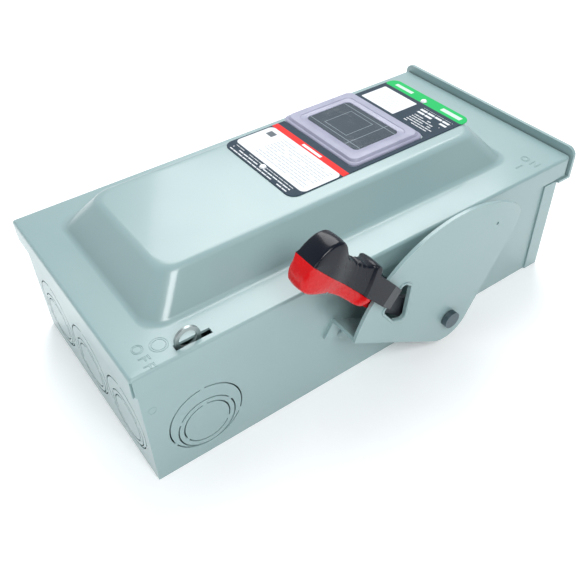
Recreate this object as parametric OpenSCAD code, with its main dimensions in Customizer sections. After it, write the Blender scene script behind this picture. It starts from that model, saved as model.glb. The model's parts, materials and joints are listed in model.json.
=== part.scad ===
// Side-operated rain-tight disconnect switch: a wall box whose raised cover hinges on the left,
// with a padlockable lever on the right that turns a three-pole blade switch inside.
// +X is the handle side, +Y is the hood (ON) end, +Z comes out through the cover.
// The origin is the centre of the back of the box, the face that lies on the wall.

/* [Box] */
// Width of the box over its side walls
box_w = 148; // [130:1:190]
// Length of the box over its end walls
box_l = 298; // [270:1:380]
// Depth of the side walls from the back face
box_d = 82.5; // [78:0.5:110]
// Thickness of the box and cover sheet
sheet = 1.5; // [1.2:0.1:2]
// Spacing of the mounting holes across the back
mount_dx = 90; // [60:1:110]
// Spacing of the mounting holes along the back
mount_dy = 262; // [200:1:264]
// Radius of the mounting holes
mount_r = 3.6; // [2.5:0.1:5]

/* [Knockouts] */
// Radii of the three nested blanks
knock_radii = [14.1, 17.45, 22]; // [10:0.05:24]
// Height of the point where the rings nearly meet
knock_base_z = 8; // [6:0.5:14]
// Width of the sheared line round each blank
knock_slit = 0.8; // [0.4:0.1:1]
// Width of the ties that hold each blank
knock_tie = 2.5; // [1.5:0.1:4]
// Spacing of the three blanks in the bottom end wall
knock_pitch = 46.5; // [46.5:0.5:50]
// Distance of the side blank from the bottom end of the box
knock_side_y = 33; // [28:1:60]

/* [Cover] */
// Gap between the cover's side flanges and the box
cover_gap = 0.6; // [0.4:0.1:1]
// Gap between the cover's end flange and the box
cover_end_gap = 1; // [0.6:0.1:1.5]
// Depth of the cover's flanges, top skin included
flange_d = 13.4; // [12:0.1:16]
// How far the cover runs out past the box, under the hood
cover_over = 6.5; // [4:0.5:9]
// Height of the raised panel above the cover
panel_h = 20; // [12:0.5:26]
// Distance from the box's edges to the raised panel: hinge, handle, bottom end and hood sides
panel_margins = [16.4, 20.2, 19.1, 26.5]; // [12:0.1:40]
// Run of the panel's slope at the sides and at the ends
panel_slope = [14.3, 17]; // [8:0.1:24]
// Corner radius of the raised panel
panel_r = 12; // [8:0.5:18]

/* [Viewing window] */
// Centre of the window across and along the cover
window_c = [-9.5, 46.5]; // [-40:0.5:90]
// Width of the window's frame
window_w = 71; // [60:0.5:74]
// Length of the window's frame
window_l = 56; // [48:0.5:64]
// Width of the frame's rim
window_rim = 11; // [8:0.5:14]
// Height of the frame above the cover
window_h = 3.2; // [2:0.1:5]
// Thickness of the clear pane
lens_t = 2; // [1.5:0.1:3]

/* [Nameplate] */
// Width of the nameplate
plate_w = 71; // [60:0.5:76]
// Length of the nameplate
plate_l = 138; // [120:1:150]
// Thickness of the nameplate
plate_t = 0.5; // [0.3:0.1:1]

/* [Hood] */
// Height of the hood's lip above the cover
hood_rise = 5.4; // [3:0.1:8]
// Thickness of the hood's lip
hood_t = 2.2; // [1.5:0.1:3]
// Gap between the cover's end and the hood's lip
hood_gap = 0.8; // [0.5:0.1:2]
// Width of the end cap's strap on each side wall
strap_w = 11.5; // [8:0.5:16]
// Thickness of the end cap's strap
strap_t = 1.2; // [0.8:0.1:1.5]

/* [Handle] */
// Centre of the handle's shaft along the box
handle_y = 38.6; // [20:0.1:60]
// Centre of the handle's shaft above the back
handle_z = 27.2; // [24:0.1:34]
// Radius of the shaft
shaft_r = 4.5; // [3.5:0.1:5]
// Running clearance of a shaft in its hole
run_gap = 0.05; // [0.02:0.01:0.09]
// Radius of the fixed quadrant's curved edge
quad_r = 77; // [70:0.5:90]
// Gap between the box and the back of the quadrant
quad_gap = 19.4; // [18:0.1:24]
// Thickness of the quadrant
quad_t = 2; // [1.5:0.1:2.5]
// Distance from the shaft to the quadrant's lower edge
quad_foot = 18; // [15:0.5:22]
// Throw of the handle from OFF to ON
throw = 70; // [60:1:75]
// Thickness of the steel arm
arm_t = 3; // [2:0.1:4]
// Thickness of the moulded grip, along the shaft
grip_t = 15.4; // [13:0.1:18]

/* [Latch] */
// Distance of the padlock loop from the bottom end of the box
latch_y = 31.8; // [28:0.1:60]
// Width of the loop
loop_w = 14; // [12:0.5:18]
// Height of the loop above the cover
loop_h = 9; // [7:0.5:14]
// Radius of the padlock hole
loop_r = 4.8; // [3.5:0.1:5]
// Thickness of the latch plate
latch_t = 1.6; // [1.2:0.1:2]
// Travel of the latch
latch_travel = 5; // [3:0.5:6]

/* [Switch] */
// Spacing of the three poles
pole_pitch = 30; // [28:0.5:32]
// Position of the middle pole across the box
pole_x = -12; // [-16:0.5:-8]
// Centre of the blade shaft along the box
rotor_y = 47; // [46:0.5:50]
// Centre of the blade shaft above the back
rotor_z = 48; // [46:0.5:50]
// Radius of the insulated blade shaft
rotor_r = 9; // [8:0.5:10]
// Half length of a blade
blade_l = 26; // [22:0.5:28]
// Width of a blade
blade_w = 10; // [8:0.5:12]
// Thickness of a blade
blade_t = 3; // [2:0.1:4]
// Gap between a blade and each jaw leaf
jaw_gap = 0.35; // [0.3:0.05:0.6]
// Length of the crank and of the rotor lever
crank_r = 16; // [14:0.5:18]

/* [Hidden] */
$fn = 48;
eps = 0.01;
// How far a bar's sides stand inside its round ends
weld = 0.02;

steel_paint = [0.62, 0.72, 0.73];
zinc = [0.74, 0.75, 0.76];
copper = [0.76, 0.47, 0.31];
alu = [0.78, 0.79, 0.8];
phenolic = [0.16, 0.16, 0.17];
brass_tone = [0.72, 0.6, 0.32];

// Box faces
hw = box_w / 2;
hl = box_l / 2;
inner_x = hw - sheet;
off_y = -hl;
on_y = hl;

// Cover faces
cover_z0 = box_d + 0.1;
cover_z1 = cover_z0 + sheet;
cover_hx = hw + cover_gap + sheet;
cover_y0 = off_y - cover_end_gap - sheet;
cover_y1 = on_y + cover_over;
flange_z = cover_z1 - flange_d;
panel_z = cover_z1 + panel_h;
panel_edges = [-hw + panel_margins[0], hw - panel_margins[1],
               off_y + panel_margins[2], on_y - panel_margins[3]];

// Hood
lip_y0 = cover_y1 + hood_gap;
lip_y1 = lip_y0 + hood_t;
shelf_z1 = flange_z - 0.9;
shelf_z0 = shelf_z1 - sheet;
hood_x = cover_hx + 1.4;
hood_top = cover_z1 + hood_rise;
hood_r = 6;

// Blanked hub opening in the end wall and the plate over it
hub_dx = 58;
hub_dz = 44;
hub_z = 35;
hub_hole_r = 22;
hub_edge = 7;

// Screws: body radius, head radius and head height of the three sizes
screw_r = 2.2;
head = [4, 2.6];
cover_head = [3.8, 2.4];
small_r = 1.6;
small_head = [3, 1.8];
slot_w = 1;
slot_d = 0.8;

// Hinge, on an axis below and outside the cover's left flange
knuckle_r = 3;
hinge_pin_r = 1.6;
hinge_x = -(cover_hx + knuckle_r + 0.3);
hinge_z = flange_z - 1.1;
hinge_at = box_l / 2 - 56;
knuckle_l = 12;
leaf_t = 1.2;
leaf_gap = 0.3;

// Quadrant and handle, in planes across the shaft
quad_x0 = hw + quad_gap;
quad_x1 = quad_x0 + quad_t;
off_angle = 140.3;
grip_angle = 131.5;
grip_at = 88.8;
foot_angle = 148.4;
side_angle = 56;
bend_angle = 36.5;
bend_at = 62;
bend_r = 40;
arm_x1 = quad_x0 - 2.4;
arm_x0 = arm_x1 - arm_t;
cheek_t = 0.9;
grip_x1 = quad_x1 + 6;
grip_x0 = grip_x1 - grip_t;
grip_screw_at = [32, 42.5];
grip_screw_l = 15;
grip_screw_x = (grip_x0 + grip_x1) / 2 + 2;
screw_c = 8.4;
strap_x0 = quad_x1 + 1;
strap_x1 = strap_x0 + 3.6;
tongue = [-6, 4];
tongue_end = 30;
strap_c = -13;
cheek_c = 6.4;
nose_run = 12;
hub_x0 = hw + 4;
hub_r = 9;
roll_r = 1.5;
roll_x = hw + 8;
head_r = 5.5;
head_t = 3.5;
bush_r = 7;
foot_l = 11;
rivet_r = 2;
rivet_at = [18, 40, 62];

// Mechanism planes
frame_x0 = hw - 24;
frame_x1 = frame_x0 + 2;
crank_x0 = frame_x1 + 4;
crank_x1 = crank_x0 + 3;
link_x0 = crank_x1 + 1;
link_x1 = link_x0 + 3;
lock_x0 = link_x1 + 2.5;
lock_x1 = lock_x0 + 2;
pin_r = 2.5;
crank_off = 198;
crank_hub = 8;
journal_r = 5;
lever_r = 44;
nose_off = 145;

// Spring of the quick-make mechanism
spring_arm_r = 14;
spring_arm_off = 50.8;
spring_x = frame_x0 - 8;
spring_or = 4;
anchor = [-8, 14];
shaft_x0 = spring_x + 4.5;

// Latch
latch_x0 = lock_x1 + 1.2;
latch_c = off_y + latch_y;
loop_top = cover_z1 + loop_h;
latch_foot_z = 52;
guide_z = 58;
guide_r = 2;
guide_head_r = 3.4;
guide_gap = 0.3;
guide_ys = [latch_c - 4, latch_c + 8];
latch_foot = [14, 15];
slot_y0 = latch_c - loop_w / 2 - 0.5;
slot_y1 = latch_c + loop_w / 2 + latch_travel + 0.5;

// Switch base
base_z0 = 8;
base_z1 = 14;
base_y0 = rotor_y - 70;
base_y1 = rotor_y + 70;
wall_t = 2.4;
wall_z = rotor_z + 18;
pole_xs = [pole_x - pole_pitch, pole_x, pole_x + pole_pitch];
wall_xs = [for (i = [0:3]) pole_x + (i - 1.5) * pole_pitch];
pad_z = 30;
jaw_in = 17;
jaw_out = 30;
lug_in = 39;
lug_out = 57;
base_screw_x = [wall_xs[0] + 8, wall_xs[3] - 8];
base_screw_y = [base_y0 + 4.5, base_y1 - 4.5];
boss_x = [wall_xs[0] + 1.5, wall_xs[3] - 1.5];
shield_y = [rotor_y + 38.5, base_y1];
boss_y = shield_y[0] + 15;
boss_deep = 8;
frame_screw_x = frame_x1 + 8;
frame_screw_ys = [handle_y - 34, handle_y + 32];

// Ground bar, at the back on the hinge side
ground_x = -hw + 27;
ground_y = off_y + 84;
ground_xs = [ground_x - 13, ground_x + 13];
ground_half = [19, 5];
ground_h = 9;

// Window: opening, then the pane with its gasket and retainer inside the frame's outline
window_in = [window_w - 2 * window_rim, window_l - 2 * window_rim];
pane = [window_w - 8, window_l - 4];
pane_r = 4;
opening_r = 3;
raised_gap = 0.2;
raised_below = 1;
skin_z = panel_z - sheet;
gasket_t = 1;
retainer_t = 1.2;

// Nameplate and its two push rivets
plate_c = [-6.2, 42];
plate_r = 6;
plate_rivets = [[-6.2, 104], [-6.2, -22]];
push_head = [2.3, 1];

// ---------- helpers ----------

// Extrudes a shape drawn in Y and Z from one X to another
module across(x0, x1) {
    translate([x0, 0, 0]) rotate([90, 0, 90]) linear_extrude(x1 - x0) children();
}

// Extrudes a shape drawn in X and Z from one Y to another
module along(y0, y1) {
    translate([0, y1, 0]) rotate([90, 0, 0]) linear_extrude(y1 - y0) children();
}

module block(p, q) {
    translate(p) cube(q - p);
}

module disc_x(r, x0, x1, y, z) {
    translate([x0, y, z]) rotate([0, 90, 0]) cylinder(r = r, h = x1 - x0);
}

module disc_y(r, y0, y1, x, z) {
    translate([x, y1, z]) rotate([90, 0, 0]) cylinder(r = r, h = y1 - y0);
}

module disc_z(r, z0, z1, x, y) {
    translate([x, y, z0]) cylinder(r = r, h = z1 - z0);
}

function polar(r, a) = [r * cos(a), r * sin(a)];

// Point in Y and Z at a radius and angle about the handle's shaft
function about_shaft(r, a) = [handle_y, handle_z] + polar(r, a);

grip_o = about_shaft(grip_at, off_angle);

// Point in Y and Z given along the grip and across it, red side positive
function on_grip(a, c) = grip_o + polar(a, grip_angle) + polar(c, grip_angle + 90);

// Flat bar with round ends between two points
module bar2d(p, q, rp, rq) {
    d = q - p;
    n = [-d[1], d[0]] / norm(d);
    translate(p) circle(r = rp);
    translate(q) circle(r = rq);
    hp = n * (rp - weld);
    hq = n * (rq - weld);
    polygon([p + hp, q + hq, q - hq, p - hp]);
}

// Sheared lines of nested blanks, drawn flat with the meeting point at the origin
module knockout2d() {
    for (i = [0:2]) {
        r = knock_radii[i];
        c = i == 0 ? knock_radii[1] : r;
        translate([0, c]) difference() {
            circle(r = r);
            circle(r = r - knock_slit);
            for (a = i == 1 ? [30, 150, 270] : [90, 205, 335])
                rotate(a) translate([r - 2, -knock_tie / 2]) square([4, knock_tie]);
        }
    }
}

module slotted_head(size) {
    r = size[0];
    difference() {
        cylinder(r = r, h = size[1]);
        translate([-r - 1, -slot_w / 2, size[1] - slot_d]) cube([2 * r + 2, slot_w, 2 * slot_d]);
    }
}

// ---------- box ----------

module enclosure_shell() {
    color(steel_paint) difference() {
        block([-hw, off_y, 0], [hw, on_y - sheet, box_d]);
        block([-inner_x, off_y + sheet, sheet], [inner_x, on_y, box_d + 1]);
        for (x = [-1, 1], y = [-1, 1])
            disc_z(mount_r, -1, sheet + 1, x * mount_dx / 2, y * mount_dy / 2);
        for (x = [-knock_pitch, 0, knock_pitch])
            along(off_y - 1, off_y + sheet + 1) translate([x, knock_base_z]) knockout2d();
        across(inner_x - 1, hw + 1)
            translate([off_y + knock_side_y, knock_base_z]) knockout2d();
        across(-hw - 1, -inner_x + 1)
            translate([off_y + knock_side_y, knock_base_z]) knockout2d();
        disc_x(bush_r, inner_x - 1, hw + 1, handle_y, handle_z);
        for (p = rivet_points()) disc_x(rivet_r, inner_x - 1, hw + 1, p[0], p[1]);
        for (x = [frame_screw_x], y = frame_screw_ys) disc_z(screw_r, -1, sheet + 1, x, y);
        for (x = base_screw_x, y = base_screw_y)
            disc_z(screw_r, -1, sheet + 1, x, y);
        for (x = ground_xs) disc_z(screw_r, -1, sheet + 1, x, ground_y);
    }
}

module top_end_cap() {
    hub_holes = [for (x = [-1, 1], z = [-1, 1]) [x * hub_dx / 2, hub_z + z * hub_dz / 2]];
    color(steel_paint) difference() {
        union() {
            block([-hw - strap_t, on_y - sheet, 0], [hw + strap_t, on_y, shelf_z1]);
            for (s = [-1, 1])
                block([s > 0 ? hw : -hw - strap_t, on_y - strap_w, 0],
                      [s > 0 ? hw + strap_t : -hw, on_y, shelf_z0]);
            block([-hood_x, on_y - sheet, shelf_z0], [hood_x, lip_y1, shelf_z1]);
            along(lip_y0, lip_y1) {
                translate([-hood_x, shelf_z0])
                    square([2 * hood_x, hood_top - shelf_z0 - hood_r]);
                translate([-hood_x + hood_r, shelf_z0])
                    square([2 * (hood_x - hood_r), hood_top - shelf_z0]);
                for (s = [-1, 1])
                    translate([s * (hood_x - hood_r), hood_top - hood_r]) circle(r = hood_r);
            }
        }
        disc_y(hub_hole_r, on_y - 5, on_y + 1, 0, hub_z);
        for (p = hub_holes) disc_y(screw_r, on_y - 5, on_y + 1, p[0], p[1]);
    }
}

module hub_closing_plate() {
    color(steel_paint) difference() {
        block([-hub_dx / 2 - hub_edge, on_y, hub_z - hub_dz / 2 - hub_edge],
              [hub_dx / 2 + hub_edge, on_y + sheet, hub_z + hub_dz / 2 + hub_edge]);
        for (x = [-1, 1], z = [-1, 1])
            disc_y(screw_r, on_y - 1, on_y + sheet + 1, x * hub_dx / 2, hub_z + z * hub_dz / 2);
    }
}

module hub_plate_screws() {
    color(zinc) for (x = [-1, 1], z = [-1, 1]) {
        px = x * hub_dx / 2;
        pz = hub_z + z * hub_dz / 2;
        disc_y(screw_r, on_y - sheet - 4, on_y + sheet, px, pz);
        translate([px, on_y + sheet, pz]) rotate([-90, 0, 0]) slotted_head(cover_head);
    }
}

// ---------- handle bracket ----------

function foot_frame(s, d) = [handle_y, handle_z] + polar(s, foot_angle)
    + polar(d, foot_angle + 90);
function rivet_points() = [for (s = rivet_at) foot_frame(s, quad_foot + foot_l / 2 + 1)];

module quadrant2d() {
    tip = about_shaft(quad_r - 1.5, 47);
    difference() {
        union() {
            translate([handle_y, handle_z]) circle(r = quad_foot);
            intersection() {
                translate([handle_y, handle_z]) circle(r = quad_r, $fn = 96);
                polygon([
                    foot_frame(0, quad_foot), foot_frame(quad_r + 5, quad_foot),
                    foot_frame(quad_r + 5, 0), about_shaft(quad_r + 30, 120),
                    about_shaft(quad_r + 30, 80), tip, about_shaft(quad_foot, side_angle - 90)
                ]);
            }
        }
        lock_hole2d();
    }
}

// Padlock opening of the quadrant, at the OFF end of the handle's travel
module lock_hole2d() {
    offset(r = 2.5) polygon([
        about_shaft(60.5, 131.5), about_shaft(57.5, 131),
        about_shaft(47, 148), about_shaft(52, 149), about_shaft(62, 145)
    ]);
}

module handle_bracket() {
    bend_x = quad_x1 - bend_r;
    color(steel_paint) difference() {
        union() {
            intersection() {
                across(quad_x0 - 12, quad_x1 + 1) quadrant2d();
                translate([0, handle_y, handle_z]) rotate([bend_angle, 0, 0]) union() {
                    block([quad_x0, -90, -110], [quad_x1, bend_at, 110]);
                    intersection() {
                        translate([bend_x, bend_at, -110]) difference() {
                            cylinder(r = bend_r, h = 220, $fn = 128);
                            translate([0, 0, -1]) cylinder(r = bend_r - quad_t, h = 222, $fn = 128);
                        }
                        block([bend_x, bend_at, -110], [quad_x1 + 1, bend_at + 30, 110]);
                    }
                }
            }
            translate([0, handle_y, handle_z]) rotate([foot_angle, 0, 0]) {
                block([hw, 8, quad_foot - quad_t], [quad_x1, 74, quad_foot]);
                block([hw, 8, quad_foot - quad_t], [hw + quad_t, 74, quad_foot + foot_l]);
            }
        }
        disc_x(shaft_r + run_gap, quad_x0 - 2, quad_x1 + 2, handle_y, handle_z);
        for (p = rivet_points()) disc_x(rivet_r, hw - 1, hw + quad_t + 1, p[0], p[1]);
    }
}

module bracket_rivets() {
    color(steel_paint) for (p = rivet_points()) {
        disc_x(rivet_r, inner_x, hw + quad_t, p[0], p[1]);
        disc_x(3.6, hw + quad_t, hw + quad_t + 1.4, p[0], p[1]);
        disc_x(3.6, inner_x - 1.2, inner_x, p[0], p[1]);
    }
}

module shaft_bushing() {
    color(phenolic) difference() {
        union() {
            disc_x(bush_r, inner_x - 2, hw, handle_y, handle_z);
            disc_x(bush_r + 2, hw, hw + 1.5, handle_y, handle_z);
        }
        disc_x(shaft_r + run_gap, inner_x - 4, hw + 3, handle_y, handle_z);
    }
}

// ---------- handle ----------

module drive_shaft() {
    color(zinc) difference() {
        union() {
            disc_x(shaft_r, shaft_x0, quad_x1 + 0.5, handle_y, handle_z);
            disc_x(head_r, quad_x1 + 0.5, quad_x1 + 0.5 + head_t, handle_y, handle_z);
        }
        roll_pin_bore();
    }
}

module roll_pin_bore() {
    p = about_shaft(hub_r + 1, off_angle + 90);
    q = about_shaft(hub_r + 1, off_angle - 90);
    translate([roll_x, p[0], p[1]]) rotate([off_angle + 90, 0, 0])
        rotate([90, 0, 0]) cylinder(r = roll_r, h = norm(q - p));
}

module hub_roll_pin() {
    p = about_shaft(hub_r, off_angle + 90);
    color(zinc) translate([roll_x, p[0], p[1]]) rotate([off_angle + 90, 0, 0])
        rotate([90, 0, 0]) cylinder(r = roll_r, h = 2 * hub_r);
}

module handle_arm() {
    color(phenolic) difference() {
        union() {
            disc_x(hub_r, hub_x0, arm_x1, handle_y, handle_z);
            across(arm_x0, arm_x1) {
                translate([handle_y, handle_z]) circle(r = hub_r);
                polygon([
                    about_shaft(hub_r, off_angle + 90), on_grip(-30, tongue[1]),
                    on_grip(tongue_end, tongue[1]), on_grip(tongue_end, tongue[0]),
                    on_grip(-30, tongue[0]), about_shaft(hub_r, off_angle - 90)
                ]);
            }
        }
        disc_x(shaft_r, hub_x0 - 1, arm_x1 + 1, handle_y, handle_z);
        roll_pin_bore();
    }
}

// Half of the grip's outline; side is 1 for the red half and -1 for the black half
module grip2d(side) {
    red = [[0, 0], [2.4, 4.4], [5, 6.5], [14, 6.9], [22, 7.3], [29.9, 8.8], [37.9, 11.4],
           [44.1, 13], [48.9, 12.4], [52.1, 9], [53.4, 4.5], [53.8, 0]];
    black = [[0, 0], [3.4, -8], [6.6, -15], [9, -17.4], [12.4, -16.9], [16, -14.4], [22, -12.6],
             [28.4, -12.1], [34.6, -13], [39.4, -15.6], [43.3, -17.2], [47.4, -16.6],
             [50.8, -13.4], [53, -7.5], [53.8, 0]];
    polygon([for (p = side > 0 ? red : black) on_grip(p[0], p[1])]);
}

module grip_pocket() {
    across(arm_x0, arm_x1) polygon([
        on_grip(-60, tongue[1]), on_grip(tongue_end, tongue[1]),
        on_grip(tongue_end, tongue[0]), on_grip(-60, tongue[0])
    ]);
}

// A screw and the recess over its head
module grip_screw_cuts() {
    for (a = grip_screw_at) {
        p = on_grip(a, screw_c);
        grip_screw(a);
        translate([grip_screw_x, p[0], p[1]]) rotate([grip_angle, 0, 0])
            translate([0, 0, -small_head[1]]) cylinder(r = small_head[0] + 0.2, h = 10);
    }
}

module grip_screw(a) {
    p = on_grip(a, screw_c);
    translate([grip_screw_x, p[0], p[1]]) rotate([grip_angle, 0, 0]) {
        translate([0, 0, -grip_screw_l]) cylinder(r = small_r, h = grip_screw_l);
        translate([0, 0, -small_head[1]]) slotted_head(small_head);
    }
}

module grip_black() {
    color([0.06, 0.07, 0.1]) difference() {
        union() {
            across(grip_x0, grip_x1) grip2d(-1);
            across(arm_x0 - cheek_t, arm_x1 + cheek_t) polygon([
                on_grip(-30, 0), on_grip(5, 0), on_grip(9, strap_c), on_grip(-24, strap_c)
            ]);
            across(strap_x0, strap_x1) polygon([
                on_grip(-14, 0), on_grip(5, 0), on_grip(9, strap_c), on_grip(-12, strap_c)
            ]);
            strap_nose();
        }
        grip_pocket();
        grip_screw_cuts();
        quadrant_room();
    }
}

// Sloping end of the strap that reaches over the padlock opening
module strap_nose() {
    p = on_grip(-14, 0);
    intersection() {
        across(strap_x0, strap_x1) polygon([
            on_grip(-14 - nose_run, 0), on_grip(-14 + eps, 0), on_grip(-12 + eps, strap_c),
            on_grip(-12 - nose_run, strap_c)
        ]);
        translate([0, p[0], p[1]]) rotate([grip_angle - 90, 0, 0]) along(-20, 20) polygon([
            [strap_x0 - 1, -nose_run], [strap_x0, -nose_run], [strap_x1, 0], [strap_x1, 5],
            [strap_x0 - 1, 5]
        ]);
    }
}

// Room in the grip for the quadrant's curved edge
module quadrant_room() {
    across(arm_x1 + cheek_t, strap_x0)
        translate([handle_y, handle_z]) circle(r = quad_r + 4.5, $fn = 96);
}

module grip_red() {
    color([0.86, 0.1, 0.12]) difference() {
        union() {
            across(grip_x0, grip_x1) grip2d(1);
            across(arm_x0 - cheek_t, arm_x1 + cheek_t) polygon([
                on_grip(-28, 0), on_grip(5, 0), on_grip(5, cheek_c), on_grip(-25, cheek_c)
            ]);
        }
        grip_pocket();
        grip_screw_cuts();
        quadrant_room();
    }
}

module grip_screws() {
    color(zinc) for (a = grip_screw_at) grip_screw(a);
}

module drive_crank() {
    pin = about_shaft(crank_r, crank_off);
    color(zinc) difference() {
        union() {
            across(crank_x0, crank_x1) bar2d([handle_y, handle_z], pin, crank_hub, 5);
            disc_x(pin_r, crank_x1, link_x1 + 1.5, pin[0], pin[1]);
        }
        disc_x(shaft_r, crank_x0 - 1, crank_x1 + 1, handle_y, handle_z);
    }
}

module spring_arm() {
    pin = about_shaft(spring_arm_r, spring_arm_off);
    color(zinc) difference() {
        union() {
            across(shaft_x0, frame_x0 - 0.5)
                bar2d([handle_y, handle_z], pin, crank_hub, 4);
            disc_x(1.5, spring_x - 1.5, shaft_x0, pin[0], pin[1]);
        }
        disc_x(shaft_r, shaft_x0 - 1, frame_x0, handle_y, handle_z);
    }
}

module interlock_lever() {
    tip = about_shaft(lever_r, nose_off);
    nose = about_shaft(lever_r + 4.5, nose_off - 8.5);
    color(zinc) difference() {
        union() {
            across(lock_x0, lock_x1) bar2d([handle_y, handle_z], tip, crank_hub, 3.2);
            across(lock_x0, lock_x1) bar2d(about_shaft(lever_r - 1.5, nose_off), nose, 3, 2);
        }
        disc_x(shaft_r, lock_x0 - 1, lock_x1 + 1, handle_y, handle_z);
    }
}

module drive_link() {
    p = about_shaft(crank_r, crank_off);
    q = p + [rotor_y - handle_y, rotor_z - handle_z];
    color(zinc) difference() {
        union() across(link_x0, link_x1) bar2d(p, q, 4.5, 4.5);
        for (c = [p, q])
            disc_x(pin_r + run_gap, link_x0 - 1, link_x1 + 1, c[0], c[1]);
    }
}

// ---------- blade switch ----------

module rotor_crossbar() {
    x0 = wall_xs[0] + wall_t / 2 + 0.8;
    x1 = spring_x - 6;
    color([0.35, 0.12, 0.1]) difference() {
        union() {
            disc_x(rotor_r, x0, x1, rotor_y, rotor_z);
            disc_x(journal_r, wall_xs[0] - wall_t / 2 - 1, x0, rotor_y, rotor_z);
            disc_x(journal_r, x1, crank_x1, rotor_y, rotor_z);
        }
        for (x = pole_xs) blade_shape(x);
    }
}

module blade_shape(x) {
    translate([x - blade_t / 2, rotor_y, rotor_z]) rotate([throw, 0, 0])
        translate([0, -blade_l, -blade_w / 2]) cube([blade_t, 2 * blade_l, blade_w]);
}

module moving_blades() {
    color(copper) for (x = pole_xs) blade_shape(x);
}

module rotor_lever() {
    pin = [rotor_y, rotor_z] + polar(crank_r, crank_off);
    color(zinc) difference() {
        union() {
            across(crank_x0, crank_x1) bar2d([rotor_y, rotor_z], pin, crank_hub, 5);
            disc_x(pin_r, crank_x1, link_x1 + 1.5, pin[0], pin[1]);
        }
        disc_x(journal_r, crank_x0 - 1, crank_x1 + 1, rotor_y, rotor_z);
    }
}

// Rounded-open slot that lets the blade shaft drop into a wall
module shaft_slot2d(r) {
    translate([rotor_y, rotor_z]) circle(r = r);
    translate([rotor_y - r, rotor_z]) square([2 * r, 60]);
}

module switch_base() {
    color(phenolic) difference() {
        union() {
            block([wall_xs[0] - 3, base_y0, base_z0], [wall_xs[3] + 2, base_y1, base_z1]);
            for (x = boss_x) disc_z(3, base_z1 - eps, wall_z, x, boss_y);
            for (i = [0:3])
                across(wall_xs[i] - wall_t / 2, wall_xs[i] + wall_t / 2) difference() {
                    translate([base_y0, base_z1 - eps])
                        square([base_y1 - base_y0, wall_z - base_z1]);
                    if (i == 0) translate([rotor_y, rotor_z]) circle(r = journal_r + run_gap);
                    if (i > 0) shaft_slot2d(rotor_r + 1);
                }
            for (x = pole_xs, s = [-1, 1])
                block([x - 10, rotor_y + s * 47 - 14, base_z1 - eps],
                      [x + 10, rotor_y + s * 47 + 14, pad_z]);
            for (x = base_screw_x, y = base_screw_y)
                disc_z(5, sheet, base_z0 + eps, x, y);
        }
        for (x = base_screw_x, y = base_screw_y)
            disc_z(screw_r, 0, base_z1 + 1, x, y);
        for (x = boss_x) disc_z(small_r, wall_z - boss_deep, wall_z + 1, x, boss_y);
    }
}

module base_screws() {
    color(zinc) for (x = base_screw_x, y = base_screw_y) {
        disc_z(screw_r, 0, base_z1, x, y);
        translate([x, y, base_z1]) slotted_head(head);
    }
}

// Stationary contact of one side: two leaves that grip the blade, and the strap to the lug
module jaw(x, s) {
    y = function(d) rotor_y + s * d;
    leaf = blade_t / 2 + jaw_gap;
    for (t = [-1, 1])
        translate([x + (t > 0 ? leaf : -leaf - 1.5), min(y(jaw_in), y(jaw_out)), rotor_z - 6])
            cube([1.5, jaw_out - jaw_in, 12]);
    translate([x - leaf - 1.5, min(y(jaw_out), y(jaw_out + 3)), pad_z])
        cube([2 * leaf + 3, 3, rotor_z + 6 - pad_z]);
    translate([x - 6, min(y(jaw_out), y(lug_out)), pad_z])
        cube([12, lug_out - jaw_out, 2]);
}

module line_jaws() {
    color(copper) for (x = pole_xs) jaw(x, 1);
}

module load_jaws() {
    color(copper) for (x = pole_xs) jaw(x, -1);
}

module lug(x, s) {
    y0 = rotor_y + s * (s > 0 ? lug_in : lug_out);
    difference() {
        translate([x - 8, y0, pad_z + 2]) cube([16, lug_out - lug_in, 17]);
        disc_y(4.5, y0 - 1, y0 + lug_out - lug_in + 1, x, pad_z + 9);
        disc_z(3, pad_z + 9, pad_z + 20, x, rotor_y + s * (lug_in + lug_out) / 2);
    }
}

module line_lugs() {
    color(alu) for (x = pole_xs) lug(x, 1);
}

module load_lugs() {
    color(alu) for (x = pole_xs) lug(x, -1);
}

module lug_screws() {
    color(zinc) for (x = pole_xs, s = [-1, 1])
        translate([x, rotor_y + s * (lug_in + lug_out) / 2, pad_z + 14]) difference() {
            cylinder(r = 3, h = 8);
            translate([0, 0, 5]) cylinder(r = 1.6, h = 4, $fn = 6);
        }
}

// Arc chute of one contact: two cheeks and a back, open where the blade passes
module arc_chute(x, s) {
    w = pole_pitch - wall_t;
    difference() {
        translate([x - w / 2, min(rotor_y + s * 14, rotor_y + s * 37), rotor_z + 7.5])
            cube([w, 23, 10]);
        translate([x - 4, min(rotor_y + s * 13, rotor_y + s * 31), rotor_z + 7])
            cube([8, 18, 12]);
    }
}

module arc_chutes() {
    color([0.75, 0.73, 0.66]) for (x = pole_xs, s = [-1, 1]) arc_chute(x, s);
}

module line_shield() {
    color([0.8, 0.88, 0.92, 0.4]) difference() {
        block([wall_xs[0] - 3, shield_y[0], wall_z], [wall_xs[3] + 3, shield_y[1], wall_z + 2]);
        for (x = boss_x) disc_z(small_r, wall_z - 1, wall_z + 3, x, boss_y);
    }
}

module shield_screws() {
    color(zinc) for (x = boss_x)
        translate([x, boss_y, wall_z - boss_deep]) {
            cylinder(r = small_r, h = boss_deep + 2);
            translate([0, 0, boss_deep + 2]) slotted_head(small_head);
        }
}

// ---------- mechanism ----------

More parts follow.
